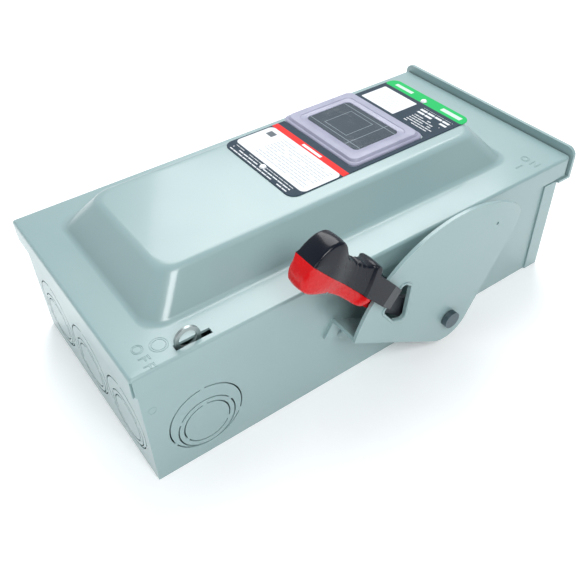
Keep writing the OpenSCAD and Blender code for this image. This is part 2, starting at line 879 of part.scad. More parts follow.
module mechanism_frame() {
    y0 = anchor[0] - 6;
    y1 = rotor_y + 30;
    color(zinc) difference() {
        union() {
            across(frame_x0, frame_x1) polygon([
                [y0, sheet], [y1, sheet], [y1, rotor_z + 12], [rotor_y - 14, rotor_z + 12],
                [y0, anchor[1] + 8]
            ]);
            block([frame_x0, y0, sheet], [frame_x1 + 14, y1, sheet + 2]);
            disc_x(2, spring_x - 4, frame_x0 + eps, anchor[0], anchor[1]);
        }
        disc_x(shaft_r + run_gap, frame_x0 - 1, frame_x1 + 1, handle_y, handle_z);
        disc_x(journal_r + run_gap, frame_x0 - 1, frame_x1 + 1, rotor_y, rotor_z);
        for (x = [frame_screw_x], y = frame_screw_ys) disc_z(screw_r, 0, sheet + 3, x, y);
    }
}

module frame_screws() {
    color(zinc) for (x = [frame_screw_x], y = frame_screw_ys) {
        disc_z(screw_r, 0, sheet + 2, x, y);
        translate([x, y, sheet + 2]) slotted_head(head);
    }
}

// Close-wound spring drawn as a ribbed bar
module spring_body(l, r_out, wire, coils) {
    pitch = l / coils;
    difference() {
        cylinder(r = r_out, h = l);
        rotate_extrude() for (i = [0:coils - 1])
            translate([r_out + 0.1, (i + 0.5) * pitch]) circle(r = wire * 0.4, $fn = 12);
    }
}

// Loop at a spring's end, its hole across the spring
module spring_loop(r_hole, z) {
    translate([-0.6, 0, z]) rotate([0, 90, 0]) difference() {
        cylinder(r = r_hole + 1.3, h = 1.2);
        translate([0, 0, -1]) cylinder(r = r_hole, h = 3.2);
    }
}

module over_center_spring() {
    p = about_shaft(spring_arm_r, spring_arm_off);
    d = anchor - p;
    l = norm(d);
    color([0.3, 0.3, 0.32]) translate([spring_x, p[0], p[1]])
        rotate([atan2(d[1], d[0]) - 90, 0, 0]) {
            spring_loop(1.5 + run_gap, 0);
            spring_loop(2 + run_gap, l);
            translate([-0.6, -1, 2.2]) cube([1.2, 2, 4]);
            translate([-0.6, -1, l - 6.2]) cube([1.2, 2, 3.5]);
            translate([0, 0, 6]) spring_body(l - 12, spring_or, 1.1, 18);
        }
}

// ---------- ground ----------

module ground_bar() {
    color(brass_tone) difference() {
        translate([ground_x - ground_half[0], ground_y - ground_half[1], sheet])
            cube([2 * ground_half[0], 2 * ground_half[1], ground_h]);
        for (x = ground_xs) disc_z(screw_r, 0, sheet + ground_h + 1, x, ground_y);
        disc_y(2.6, ground_y - 6, ground_y + 6, ground_x, sheet + ground_h / 2);
        disc_z(2, sheet + ground_h / 2, sheet + ground_h + 1, ground_x, ground_y);
    }
}

module ground_bar_screws() {
    color([0.25, 0.5, 0.3]) {
        for (x = ground_xs) {
            disc_z(screw_r, 0, sheet + ground_h, x, ground_y);
            translate([x, ground_y, sheet + ground_h]) slotted_head(cover_head);
        }
        disc_z(2, sheet + ground_h - 2, sheet + ground_h, ground_x, ground_y);
        translate([ground_x, ground_y, sheet + ground_h]) slotted_head([3.4, 2.2]);
    }
}

// ---------- hinge ----------

module box_hinge_leaves() {
    color(steel_paint) for (s = [-1, 1]) {
        yc = s * hinge_at;
        difference() {
            union() {
                for (t = [-1, 1]) {
                    yk = yc + t * knuckle_l;
                    disc_y(knuckle_r, yk - knuckle_l / 2, yk + knuckle_l / 2, hinge_x, hinge_z);
                    block([hinge_x, yk - knuckle_l / 2, hinge_z - knuckle_r],
                          [-hw, yk + knuckle_l / 2, hinge_z - knuckle_r + leaf_t]);
                }
                block([-hw - leaf_t, yc - 1.5 * knuckle_l, hinge_z - 26],
                      [-hw, yc + 1.5 * knuckle_l, hinge_z - knuckle_r + leaf_t]);
            }
            disc_y(hinge_pin_r, yc - 40, yc + 40, hinge_x, hinge_z);
        }
    }
}

module cover_hinge_leaves() {
    color(steel_paint) for (s = [-1, 1]) {
        yc = s * hinge_at;
        k = knuckle_l / 2 - leaf_gap;
        difference() {
            union() {
                disc_y(knuckle_r, yc - k, yc + k, hinge_x, hinge_z);
                block([-cover_hx - leaf_t, yc - k, hinge_z], [-cover_hx, yc + k, cover_z1 - 2]);
            }
            disc_y(hinge_pin_r + run_gap, yc - 10, yc + 10, hinge_x, hinge_z);
        }
    }
}

module hinge_pins() {
    color(zinc) for (s = [-1, 1]) {
        yc = s * hinge_at;
        disc_y(hinge_pin_r, yc - 1.5 * knuckle_l, yc + 1.5 * knuckle_l, hinge_x, hinge_z);
        disc_y(2.4, yc + 1.5 * knuckle_l, yc + 1.5 * knuckle_l + 1.4, hinge_x, hinge_z);
    }
}

// ---------- cover ----------

// Raised panel as a solid, inset on every side and lowered by a skin thickness
module panel_solid(inset, base, top) {
    e = panel_edges;
    foot = [for (x = [e[0] + inset + panel_r, e[1] - inset - panel_r],
                 y = [e[2] + inset + panel_r, e[3] - inset - panel_r]) [x, y]];
    crown = [for (i = [0:3]) foot[i] + [(i < 2 ? 1 : -1) * panel_slope[0],
                                        (i % 2 == 0 ? 1 : -1) * panel_slope[1]]];
    hull() {
        for (p = foot) disc_z(panel_r, base - 0.2, base, p[0], p[1], $fn = 32);
        for (p = crown) disc_z(panel_r, top - 0.2, top, p[0], p[1], $fn = 32);
    }
}

module window_block(w, l, z0, z1, r) {
    translate([window_c[0], window_c[1], z0]) linear_extrude(z1 - z0) {
        square([w - 2 * r, l], center = true);
        square([w, l - 2 * r], center = true);
        for (x = [-1, 1], y = [-1, 1])
            translate([x * (w / 2 - r), y * (l / 2 - r)]) circle(r = r);
    }
}

module cover_panel() {
    color(steel_paint) difference() {
        union() {
            block([-cover_hx, cover_y0, flange_z], [cover_hx, cover_y1, cover_z1]);
            panel_solid(0, cover_z1, panel_z);
        }
        block([-cover_hx + sheet, cover_y0 + sheet, flange_z - 1],
              [cover_hx - sheet, cover_y1 + 1, cover_z0]);
        panel_solid(1.2, cover_z0, panel_z - sheet);
        window_block(window_in[0], window_in[1], panel_z - 5, panel_z + 2, opening_r);
        block([latch_x0 - 0.7, slot_y0, cover_z0 - 2],
              [latch_x0 + latch_t + 1.7, slot_y1, cover_z1 + 2]);
        for (p = retainer_points())
            disc_z(small_r, panel_z - 5, panel_z + 1, p[0], p[1]);
        for (p = plate_rivets) disc_z(small_r, panel_z - 5, panel_z + 1, p[0], p[1]);
    }
}

module nameplate() {
    color([0.27, 0.36, 0.42]) difference() {
        translate([plate_c[0], plate_c[1], panel_z]) linear_extrude(plate_t) {
            square([plate_w - 2 * plate_r, plate_l], center = true);
            square([plate_w, plate_l - 2 * plate_r], center = true);
            for (x = [-1, 1], y = [-1, 1])
                translate([x * (plate_w / 2 - plate_r), y * (plate_l / 2 - plate_r)])
                    circle(r = plate_r);
        }
        window_block(window_w + 0.6, window_l + 0.6, panel_z - 1, panel_z + 2, pane_r);
        for (p = plate_rivets) disc_z(small_r, panel_z - 1, panel_z + 2, p[0], p[1]);
    }
}

module nameplate_rivets() {
    color([0.85, 0.88, 0.9]) for (p = plate_rivets) {
        disc_z(small_r, panel_z - sheet - 1.5, panel_z + plate_t, p[0], p[1]);
        disc_z(push_head[0], panel_z + plate_t, panel_z + plate_t + push_head[1], p[0], p[1]);
    }
}

function retainer_points() = [for (x = [-1, 1], y = [-1, 1])
    window_c + [x * (pane[0] / 2 - 3), y * (pane[1] / 2 - 4)]];

module window_frame() {
    color([0.74, 0.73, 0.84, 0.8]) difference() {
        window_block(window_w, window_l, panel_z, panel_z + window_h, pane_r);
        window_block(window_in[0], window_in[1], panel_z - 1, panel_z + window_h + 1, opening_r);
        for (p = retainer_points())
            disc_z(small_r, panel_z - 1, panel_z + 2, p[0], p[1]);
    }
}

module window_gasket() {
    color([0.1, 0.1, 0.1]) difference() {
        window_block(pane[0], pane[1], skin_z - gasket_t, skin_z, pane_r);
        window_block(window_in[0], window_in[1], skin_z - 5, skin_z + 1, opening_r);
        for (p = retainer_points()) disc_z(small_r, skin_z - 5, skin_z + 1, p[0], p[1]);
    }
}

module window_lens() {
    z1 = skin_z - gasket_t;
    color([0.6, 0.68, 0.72, 0.4]) difference() {
        union() {
            window_block(pane[0], pane[1], z1 - lens_t, z1, pane_r);
            window_block(window_in[0] - 2 * raised_gap, window_in[1] - 2 * raised_gap, z1 - eps,
                         panel_z + window_h - raised_below, opening_r - raised_gap);
        }
        for (p = retainer_points()) disc_z(small_r, z1 - 5, z1 + 1, p[0], p[1]);
    }
}

module window_retainer() {
    z1 = skin_z - gasket_t - lens_t;
    color(zinc) difference() {
        window_block(pane[0], pane[1], z1 - retainer_t, z1, pane_r);
        window_block(window_in[0] + 4, window_in[1] + 4, z1 - 5, z1 + 1, opening_r);
        for (p = retainer_points()) disc_z(small_r, z1 - 5, z1 + 1, p[0], p[1]);
    }
}

module retainer_screws() {
    z0 = skin_z - gasket_t - lens_t - retainer_t;
    color(zinc) for (p = retainer_points()) {
        disc_z(small_r, z0, panel_z + 2, p[0], p[1]);
        translate([p[0], p[1], z0]) rotate([180, 0, 0]) slotted_head(small_head);
    }
}

// Hook under the cover that the interlock lever holds while the switch is ON
module interlock_catch() {
    y = handle_y + 22.4;
    color(zinc) across(lock_x0 - 1, lock_x1 + 1) {
        translate([y, handle_z + 38.8]) square([2, cover_z0 - handle_z - 38.8]);
        translate([y - 5, handle_z + 38.8]) square([7, 2]);
        translate([y, cover_z0 - 1.5]) square([9, 1.5]);
    }
}

// ---------- latch ----------

// Slot through the latch plate, long enough for its travel
module guide_slot2d(y) {
    translate([y - latch_travel, guide_z]) circle(r = guide_r + 0.2);
    translate([y, guide_z]) circle(r = guide_r + 0.2);
    translate([y - latch_travel, guide_z - guide_r - 0.2])
        square([latch_travel, 2 * guide_r + 0.4]);
}

module cover_latch() {
    color(zinc) across(latch_x0, latch_x0 + latch_t) difference() {
        union() {
            translate([latch_c, loop_top - loop_w / 2]) circle(r = loop_w / 2);
            translate([latch_c - loop_w / 2, 66])
                square([loop_w, loop_top - loop_w / 2 - 66]);
            translate([latch_c - latch_foot[0], latch_foot_z])
                square([2 * latch_foot[0], latch_foot[1]]);
        }
        translate([latch_c, loop_top - loop_w / 2]) circle(r = loop_r);
        for (y = guide_ys) guide_slot2d(y);
    }
}

module latch_guide_rivets() {
    color(zinc) for (y = guide_ys) {
        disc_x(guide_r, latch_x0 - guide_gap, inner_x, y, guide_z);
        disc_x(guide_head_r, latch_x0 - 1.5, latch_x0 - guide_gap, y, guide_z);
        disc_x(guide_head_r, latch_x0 + latch_t + guide_gap, inner_x, y, guide_z);
    }
}

module latch_spring() {
    y0 = off_y + sheet;
    y1 = latch_c - latch_foot[0];
    color([0.3, 0.3, 0.32]) translate([latch_x0 + latch_t / 2, y0, latch_foot_z + 7])
        rotate([-90, 0, 0]) spring_body(y1 - y0, 1.9, 0.7, 10);
}

enclosure_shell();
top_end_cap();
hub_closing_plate();
hub_plate_screws();
handle_bracket();
bracket_rivets();
shaft_bushing();
mechanism_frame();
frame_screws();
switch_base();
base_screws();
line_jaws();
load_jaws();
line_lugs();
load_lugs();
lug_screws();
arc_chutes();
line_shield();
shield_screws();
over_center_spring();
ground_bar();
ground_bar_screws();
box_hinge_leaves();
hinge_pins();
latch_guide_rivets();
latch_spring();
drive_shaft();
handle_arm();
hub_roll_pin();
grip_black();
grip_red();
grip_screws();
drive_crank();
spring_arm();
interlock_lever();
drive_link();
rotor_crossbar();
moving_blades();
rotor_lever();
cover_panel();
cover_hinge_leaves();
nameplate();
nameplate_rivets();
window_frame();
window_lens();
window_gasket();
window_retainer();
retainer_screws();
interlock_catch();
cover_latch();
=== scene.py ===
import math
import json

import bmesh
import bpy
from mathutils import Matrix, Vector


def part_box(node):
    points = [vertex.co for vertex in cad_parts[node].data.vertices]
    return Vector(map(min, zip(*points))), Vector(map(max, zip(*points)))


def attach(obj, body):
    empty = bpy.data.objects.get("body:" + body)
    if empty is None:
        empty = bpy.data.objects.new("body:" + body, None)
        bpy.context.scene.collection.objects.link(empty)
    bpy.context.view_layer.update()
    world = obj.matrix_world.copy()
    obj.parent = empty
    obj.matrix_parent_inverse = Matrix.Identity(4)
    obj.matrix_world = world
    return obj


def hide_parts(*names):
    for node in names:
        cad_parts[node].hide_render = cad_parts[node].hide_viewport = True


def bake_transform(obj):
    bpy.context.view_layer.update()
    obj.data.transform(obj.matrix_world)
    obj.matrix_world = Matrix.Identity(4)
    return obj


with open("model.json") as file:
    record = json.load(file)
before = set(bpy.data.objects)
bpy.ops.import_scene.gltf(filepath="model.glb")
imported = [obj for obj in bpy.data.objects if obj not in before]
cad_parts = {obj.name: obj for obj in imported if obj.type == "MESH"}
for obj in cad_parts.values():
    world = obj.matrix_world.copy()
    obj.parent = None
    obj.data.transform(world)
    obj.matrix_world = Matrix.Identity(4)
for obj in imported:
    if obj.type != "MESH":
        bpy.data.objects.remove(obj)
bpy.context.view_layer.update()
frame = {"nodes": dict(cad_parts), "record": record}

# ---------------------------------------------------------------- camera
# The camera stands off the bottom end on the lever's side and looks down on the cover.
# It is level to within a degree and a half, with a short telephoto lens.
MM = 0.001
camera_data = bpy.data.cameras.new("camera")
camera_data.sensor_width = 36.0
camera_data.lens = 44.44
camera_data.shift_x = -0.01738
camera_data.shift_y = 0.0094
camera = bpy.data.objects.new("camera", camera_data)
bpy.context.scene.collection.objects.link(camera)
bpy.context.scene.camera = camera
camera_place = Vector((292.99, -208.53, 331.84)) * MM
camera_aim = Vector((2.83, -4.23, 0.0)) * MM
camera_roll = math.radians(-1.364)
aim = (camera_aim - camera_place).to_track_quat("-Z", "Y").to_matrix().to_4x4()
camera.matrix_world = Matrix.Translation(camera_place) @ aim @ Matrix.Rotation(camera_roll, 4, "Z")


# ---------------------------------------------------------------- floor and light
# A pale paper floor with a painted glow, bright before the bottom end and grey under and behind the box,
# a bright surround, a large soft lamp over the hinge side, a smaller one over the lever and a faint one
# at the bottom.
def linear(red, green, blue):
    """A display colour from 0 to 255 as the colour that shaders take."""
    def channel(value):
        part = value / 255
        return part / 12.92 if part <= 0.04045 else ((part + 0.055) / 1.055) ** 2.4
    return (channel(red), channel(green), channel(blue), 1.0)


def plug(tree, socket, value):
    """Feeds a shader input from a Value, or sets it to a number or colour."""
    if isinstance(value, Value):
        tree.links.new(value.socket, socket)
    else:
        socket.default_value = value


def maths(tree, operation, *terms):
    """A Math node on numbers and Values."""
    node = tree.nodes.new("ShaderNodeMath")
    node.operation = operation
    for socket, term in zip(node.inputs, terms):
        plug(tree, socket, term)
    return Value(tree, node.outputs[0])


class Value:
    """An output of a shader node that takes part in Python sums, each adding a Math node."""

    def __init__(self, tree, socket):
        self.tree = tree
        self.socket = socket

    def __add__(self, other):
        return maths(self.tree, "ADD", self, other)

    def __radd__(self, other):
        return maths(self.tree, "ADD", other, self)

    def __sub__(self, other):
        return maths(self.tree, "SUBTRACT", self, other)

    def __rsub__(self, other):
        return maths(self.tree, "SUBTRACT", other, self)

    def __mul__(self, other):
        return maths(self.tree, "MULTIPLY", self, other)

    def __rmul__(self, other):
        return maths(self.tree, "MULTIPLY", other, self)

    def __truediv__(self, other):
        return maths(self.tree, "DIVIDE", self, other)

    def __gt__(self, other):
        return maths(self.tree, "GREATER_THAN", self, other)

    def __lt__(self, other):
        return maths(self.tree, "LESS_THAN", self, other)

    def __abs__(self):
        return maths(self.tree, "ABSOLUTE", self)

    def floor(self):
        return maths(self.tree, "FLOOR", self)

    def fract(self):
        return maths(self.tree, "FRACT", self)

    def at_least(self, other):
        return maths(self.tree, "MAXIMUM", self, other)

    def root(self):
        return maths(self.tree, "SQRT", self)


class Finish:
    """A material whose constants are set on its shader and whose patterns are added in Python."""

    def __init__(self, name, color, roughness, **constants):
        self.material = bpy.data.materials.new(name)
        self.material.use_nodes = True
        self.tree = self.material.node_tree
        self.shader = self.tree.nodes["Principled BSDF"]
        self.shader.inputs["Base Color"].default_value = color
        self.shader.inputs["Roughness"].default_value = roughness
        for constant, value in constants.items():
            self.shader.inputs[constant.replace("_", " ")].default_value = value
        self.place = self.node("TexCoord", out="Object")
        split = self.tree.nodes.new("ShaderNodeSeparateXYZ")
        plug(self.tree, split.inputs[0], self.place)
        self.x, self.y, self.z = [Value(self.tree, socket) for socket in split.outputs]

    def node(self, kind, settings=None, out=0, **inputs):
        """Adds a node of a kind, sets its settings, then feeds its inputs by name."""
        node = self.tree.nodes.new("ShaderNode" + kind)
        for setting, value in (settings or {}).items():
            setattr(node, setting, value)
        for socket, value in inputs.items():
            plug(self.tree, node.inputs[socket.replace("_", " ")], value)
        return Value(self.tree, node.outputs[out])

    def feed(self, socket, value):
        """Feeds one of the shader's inputs."""
        plug(self.tree, self.shader.inputs[socket], value)

    def mix(self, factor, first, second):
        """Mixes two colours."""
        node = self.tree.nodes.new("ShaderNodeMix")
        node.data_type = "RGBA"
        plug(self.tree, node.inputs[0], factor)
        plug(self.tree, node.inputs[6], first)
        plug(self.tree, node.inputs[7], second)
        return Value(self.tree, node.outputs[2])

    def noise(self, scale, detail=3.0, roughness=0.5, stretch=(1, 1, 1)):
        """Fractal noise from 0 to 1 with about this many blobs a metre."""
        place = self.node("Mapping", Vector=self.place, Scale=stretch)
        return self.node("TexNoise", Vector=place, Scale=scale, Detail=detail, Roughness=roughness)

    def steps(self, value, low, high, bottom=0.0, top=1.0):
        """Moves a value from one range to another with soft ends."""
        names = {"From Min": low, "From Max": high, "To Min": bottom, "To Max": top}
        node = self.tree.nodes.new("ShaderNodeMapRange")
        node.interpolation_type = "SMOOTHSTEP"
        plug(self.tree, node.inputs["Value"], value)
        for socket, number in names.items():
            plug(self.tree, node.inputs[socket], number)
        return Value(self.tree, node.outputs["Result"])

    def bump(self, height, depth, strength=1.0):
        """Raises the surface by a height of 0 to 1 times a depth in metres."""
        self.feed("Normal", self.node("Bump", Height=height, Distance=depth, Strength=strength))


floor_mesh = bpy.data.meshes.new("floor")
floor_reach = 3.0
floor_level = -0.0003
floor_corners = [(-floor_reach, -floor_reach), (floor_reach, -floor_reach),
                 (floor_reach, floor_reach), (-floor_reach, floor_reach)]
floor_mesh.from_pydata([(x, y, floor_level) for x, y in floor_corners], [], [(0, 1, 2, 3)])
floor = bpy.data.objects.new("floor", floor_mesh)
bpy.context.scene.collection.objects.link(floor)
paper = Finish("floor paper", linear(250, 250, 250), 0.6)
paper.feed("Base Color", paper.mix(paper.noise(9.0), linear(250, 250, 250), linear(246, 247, 248)))
# Painted glow: the floor gives off light, strong in front of the box's bottom end to light that wall, and
# falling to grey under and behind the box.
painted_floor_glow = paper.mix(paper.steps(paper.y, -0.1, -0.4), linear(98, 98, 98), linear(236, 236, 236))
paper.feed("Emission Color", painted_floor_glow)
paper.shader.inputs["Emission Strength"].default_value = 1.0
floor.data.materials.append(paper.material)

surround = bpy.data.worlds.new("surround")
surround.use_nodes = True
sky = surround.node_tree
sky.nodes["Background"].inputs["Color"].default_value = linear(240, 248, 253)
sky_way = sky.nodes.new("ShaderNodeTexCoord")
sky_split = sky.nodes.new("ShaderNodeSeparateXYZ")
sky.links.new(sky_way.outputs["Generated"], sky_split.inputs[0])
sky_x, sky_y, sky_z = [Value(sky, socket) for socket in sky_split.outputs]
plug(sky, sky.nodes["Background"].inputs["Strength"], 0.5 - sky_x * 0.25 + sky_y * 0.08 - sky_z * 0.04)
bpy.context.scene.world = surround
bpy.context.scene.view_settings.view_transform = "Standard"


def softbox(name, place, target, size, power):
    """A soft rectangular lamp aimed at a target."""
    lamp = bpy.data.lights.new(name, "AREA")
    lamp.shape = "RECTANGLE"
    lamp.size = size[0]
    lamp.size_y = size[1]
    lamp.energy = power
    holder = bpy.data.objects.new(name, lamp)
    bpy.context.scene.collection.objects.link(holder)
    holder.location = place
    holder.rotation_euler = (Vector(target) - Vector(place)).to_track_quat("-Z", "Y").to_euler()


softbox("key", (-0.55, 0.45, 1.0), (0, 0, 0.05), (0.8, 0.8), 10.5)
softbox("end light", (-0.2, -1.1, 0.2), (0, -0.1, 0.04), (0.8, 0.3), 0.9)
softbox("side light", (0.85, -0.2, 0.95), (0, 0, 0.05), (0.5, 0.5), 9.6)


# ---------------------------------------------------------------- box shell and end cap
# The box is one folded sheet of 1.5 mm steel with nested knockouts sheared part way through, and
# the end cap with the hood is spot-welded on: both are powder coated in a pale grey-green.
def cad_copy(name):
    """A CAD node's mesh with its loose triangles joined into true flat and curved faces."""
    mesh = frame["nodes"][name].data.copy()
    shape = bmesh.new()
    shape.from_mesh(mesh)
    bmesh.ops.remove_doubles(shape, verts=shape.verts, dist=1e-6)
    bmesh.ops.dissolve_limit(shape, angle_limit=math.radians(0.4),
                             verts=shape.verts, edges=shape.edges)
    shape.to_mesh(mesh)
    shape.free()
    mesh.materials.clear()
    return mesh


def piece(name, mesh, finish, body, stands_for=()):
    """Makes a finished piece that rides on a body, if one is named, and stands for CAD nodes."""
    thing = bpy.data.objects.new(name, mesh)
    bpy.context.scene.collection.objects.link(thing)
    thing.data.materials.clear()
    thing.data.materials.append(finish.material)
    if body:
        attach(thing, body)
    if stands_for:
        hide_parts(*stands_for)
    return thing


def shade_smooth(thing):
    """Shades a piece smooth all over."""
    for face in thing.data.polygons:
        face.use_smooth = True


def soften(thing, width, segments=2, angle=35):
    """Breaks a piece's sharp edges, as bending, moulding and tumbling do."""
    shade_smooth(thing)
    bevel = thing.modifiers.new("edges", "BEVEL")
    bevel.width = width * MM
    bevel.segments = segments
    bevel.limit_method = "ANGLE"
    bevel.angle_limit = math.radians(angle)
    bevel.use_clamp_overlap = True
    bevel.harden_normals = False
    even = thing.modifiers.new("flats", "WEIGHTED_NORMAL")
    even.keep_sharp = False
    return thing


body_of = {node: body for body, members in frame["record"]["behaviour"]["bodies"].items()
           for node in members}


def softened(name, finish, width, segments=2):
    """A CAD node's own shape with its edges broken, in a finish."""
    thing = piece(name + "_finished", cad_copy(name), finish, body_of[name], (name,))
    return soften(thing, width, segments)


paint = Finish("powder coat", linear(140, 164, 165), 0.3, Coat_Weight=0.35, Coat_Roughness=0.12)
paint_tone = paint.noise(14.0, 4.0)
paint_color = paint.mix(paint_tone, linear(135, 161, 162), linear(146, 169, 170))
speck = paint.steps(paint.noise(900.0, 2.0, 0.7), 0.71, 0.76)
paint_color = paint.mix(speck * 0.35, paint_color, linear(96, 112, 114))
paint.feed("Base Color", paint_color)
paint.feed("Roughness", 0.26 + paint.noise(45.0, 3.0) * 0.14)
paint.bump(paint.noise(1100.0, 2.0) * 0.7 + paint.noise(260.0, 2.0) * 0.5, 0.00006, 0.5)

softened("enclosure_shell", paint, 0.35)
softened("top_end_cap", paint, 0.45, 3)
softened("hub_closing_plate", paint, 0.4)


# ---------------------------------------------------------------- screws, rivets and pins
# Plated steel fasteners: slotted screws for the covers and the switch, and rivets with domed heads.
# They are turned or cold headed, then zinc plated, which leaves a faint rainbow-grey grain.
def plated(name, color, roughness, tint):
    """Zinc or tin plate: a metal with a fine grain and slightly uneven colour."""
    finish = Finish(name, color, roughness, Metallic=1.0)
    finish.feed("Base Color", finish.mix(finish.noise(180.0, 4.0), color, tint))
    finish.feed("Roughness", roughness - 0.08 + finish.noise(420.0, 3.0) * 0.2)
    finish.bump(finish.noise(1600.0, 2.0), 0.00003, 0.4)
    return finish


zinc = plated("zinc plate", linear(196, 200, 202), 0.34, linear(170, 176, 176))
for name in ("hub_plate_screws", "frame_screws", "base_screws", "lug_screws", "shield_screws",
             "retainer_screws", "grip_screws", "hub_roll_pin"):
    softened(name, zinc, 0.2)
for name in ("hinge_pins", "latch_guide_rivets"):
    softened(name, zinc, 0.35, 3)


# ---------------------------------------------------------------- cover
# The cover is one drawn sheet: its middle is pressed up into a long raised panel with soft round
# corners, its edges are folded down on three sides, and it is powder coated like the box.
def rounded_ring(west, east, south, north, radius, height, arc=8, side=14):
    """Corners of a rounded rectangle, going round from its south-east corner, all in metres."""
    corners = [(east - radius, south + radius, -90), (east - radius, north - radius, 0),
               (west + radius, north - radius, 90), (west + radius, south + radius, 180)]
    ring = []
    for index, (x, y, start) in enumerate(corners):
        for step in range(arc + 1):
            turn = math.radians(start + 90 * step / arc)
            ring.append(Vector((x + radius * math.cos(turn), y + radius * math.sin(turn), height)))
        after_x, after_y, after_start = corners[(index + 1) % 4]
        turn = math.radians(after_start)
        there = Vector((after_x + radius * math.cos(turn), after_y + radius * math.sin(turn), height))
        here = ring[-1]
        for step in range(1, side):
            ring.append(here.lerp(there, step / side))
    return ring


def loft(name, rings):
    """A skin through rings that have the same number of points."""
    count = len(rings[0])
    points = [point for ring in rings for point in ring]
    faces = []
    for row in range(len(rings) - 1):
        for step in range(count):
            ahead = (step + 1) % count
            faces.append((row * count + step, row * count + ahead,
                          (row + 1) * count + ahead, (row + 1) * count + step))
    mesh = bpy.data.meshes.new(name)
    mesh.from_pydata(points, [], faces)
    return mesh


def drop_faces(mesh, unwanted):
    """Deletes the faces whose centre meets a test."""
    shape = bmesh.new()
    shape.from_mesh(mesh)
    gone = [face for face in shape.faces if unwanted(face.calc_center_median())]
    bmesh.ops.delete(shape, geom=gone, context="FACES")
    shape.to_mesh(mesh)
    shape.free()


def applied(thing):
    """The plain mesh that a piece's modifiers give."""
    bpy.context.view_layer.update()
    made = bpy.data.meshes.new_from_object(
        thing.evaluated_get(bpy.context.evaluated_depsgraph_get()))
    bpy.data.objects.remove(thing)
    return made


def cut(mesh, cutters):
    """A mesh with some other meshes cut out of it."""
    work = bpy.data.objects.new("work", mesh)
    bpy.context.scene.collection.objects.link(work)
    tools = []
    for index, cutter in enumerate(cutters):
        tool = bpy.data.objects.new("tool", cutter)
        bpy.context.scene.collection.objects.link(tool)
        tools.append(tool)
        step = work.modifiers.new("cut", "BOOLEAN")
        step.operation = "DIFFERENCE"
        step.solver = "EXACT"
        step.object = tool
    made = applied(work)
    for tool in tools:
        bpy.data.objects.remove(tool)
    return made


def brick(low, high):
    """A plain box to cut with."""
    mesh = bpy.data.meshes.new("brick")
    shape = bmesh.new()
    size = Vector(high) - Vector(low)
    middle = (Vector(high) + Vector(low)) / 2
    bmesh.ops.create_cube(shape, size=1.0,
                          matrix=Matrix.Translation(middle) @ Matrix.Diagonal((*size, 1)))
    shape.to_mesh(mesh)
    shape.free()
    return mesh


cover_low, cover_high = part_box("cover_panel")
sheet = 1.5 * MM
panel_rise = 20 * MM
skin_top = cover_high[2] - panel_rise
panel_foot = (-57.6 * MM, 53.8 * MM, -129.9 * MM, 122.5 * MM)
panel_run = (14.3 * MM, 17 * MM)
panel_corner = 12 * MM
slot_corners = ((68.0, -124.7), (72.0, -104.7))
foot_radius = 5 * MM
crown_radius = 6.5 * MM
fold_radius = 1.8 * MM
rest_of_flange = cover_low[2]


def panel_profile(run):
    """Points across the side of the raised panel, as steps inwards and steps up."""
    slope = math.atan2(panel_rise, run)
    foot_reach = foot_radius * math.tan(slope / 2)
    crown_reach = crown_radius * math.tan(slope / 2)
    points = []
    for step in range(8):
        turn = slope * step / 7
        points.append((-foot_reach + foot_radius * math.sin(turn),
                       foot_radius * (1 - math.cos(turn))))
    for step in range(9):
        turn = slope * (1 - step / 8)
        points.append((run + crown_reach - crown_radius * math.sin(turn),
                       panel_rise - crown_radius * (1 - math.cos(turn))))
    return points


cover_rings = []
for down in (rest_of_flange, (rest_of_flange + skin_top) / 2, skin_top - fold_radius):
    cover_rings.append(rounded_ring(cover_low[0], cover_high[0], cover_low[1], cover_high[1],
                                    fold_radius, down))
for step in range(1, 6):
    turn = math.radians(90 * step / 5)
    inset = fold_radius * (1 - math.cos(turn))
    cover_rings.append(rounded_ring(cover_low[0] + inset, cover_high[0] - inset,
                                    cover_low[1] + inset, cover_high[1], fold_radius - inset * 0.9,
                                    skin_top - fold_radius * (1 - math.sin(turn))))
for inset in (6, 11):
    cover_rings.append(rounded_ring(cover_low[0] + inset * MM, cover_high[0] - inset * MM,
                                    cover_low[1] + inset * MM, cover_high[1] - inset * MM,
                                    inset * 0.5 * MM, skin_top))
for side_step, end_step in zip(panel_profile(panel_run[0]), panel_profile(panel_run[1])):
    cover_rings.append(rounded_ring(panel_foot[0] + side_step[0], panel_foot[1] - side_step[0],
                                    panel_foot[2] + end_step[0], panel_foot[3] - end_step[0],
                                    panel_corner, skin_top + (side_step[1] + end_step[1]) / 2))
window_middle = Vector((-9.5, 46.5)) * MM
window_hole = (49 * MM, 34 * MM)
cover_rings.append(rounded_ring(window_middle.x - window_hole[0] / 2,
                                window_middle.x + window_hole[0] / 2,
                                window_middle.y - window_hole[1] / 2,
                                window_middle.y + window_hole[1] / 2, 3 * MM, cover_high[2]))
cover_mesh = loft("cover", cover_rings)
fold_end = cover_high[1] - 0.1 * MM
drop_faces(cover_mesh, lambda c: c.y > fold_end and c.z < skin_top - 0.05 * MM)
notch = 1.2 * MM
drop_faces(cover_mesh, lambda c: (c.y < cover_low[1] + notch and c.z < skin_top - fold_radius
                                  and abs(c.x) > cover_high[0] - notch))
skin = bpy.data.objects.new("skin", cover_mesh)
bpy.context.scene.collection.objects.link(skin)
thick = skin.modifiers.new("sheet", "SOLIDIFY")
thick.thickness = sheet
thick.offset = -1
cover_mesh = applied(skin)
slot_levels = (skin_top - 4 * MM, skin_top + 4 * MM)
slot_cut = brick(*[(x * MM, y * MM, level) for (x, y), level in zip(slot_corners, slot_levels)])
cover_mesh = cut(cover_mesh, [slot_cut])
cover = piece("cover_skin", cover_mesh, paint, "cover", ("cover_panel",))
shade_smooth(cover)
cover.data.set_sharp_from_angle(angle=math.radians(40))
even = cover.modifiers.new("flats", "WEIGHTED_NORMAL")
even.keep_sharp = True


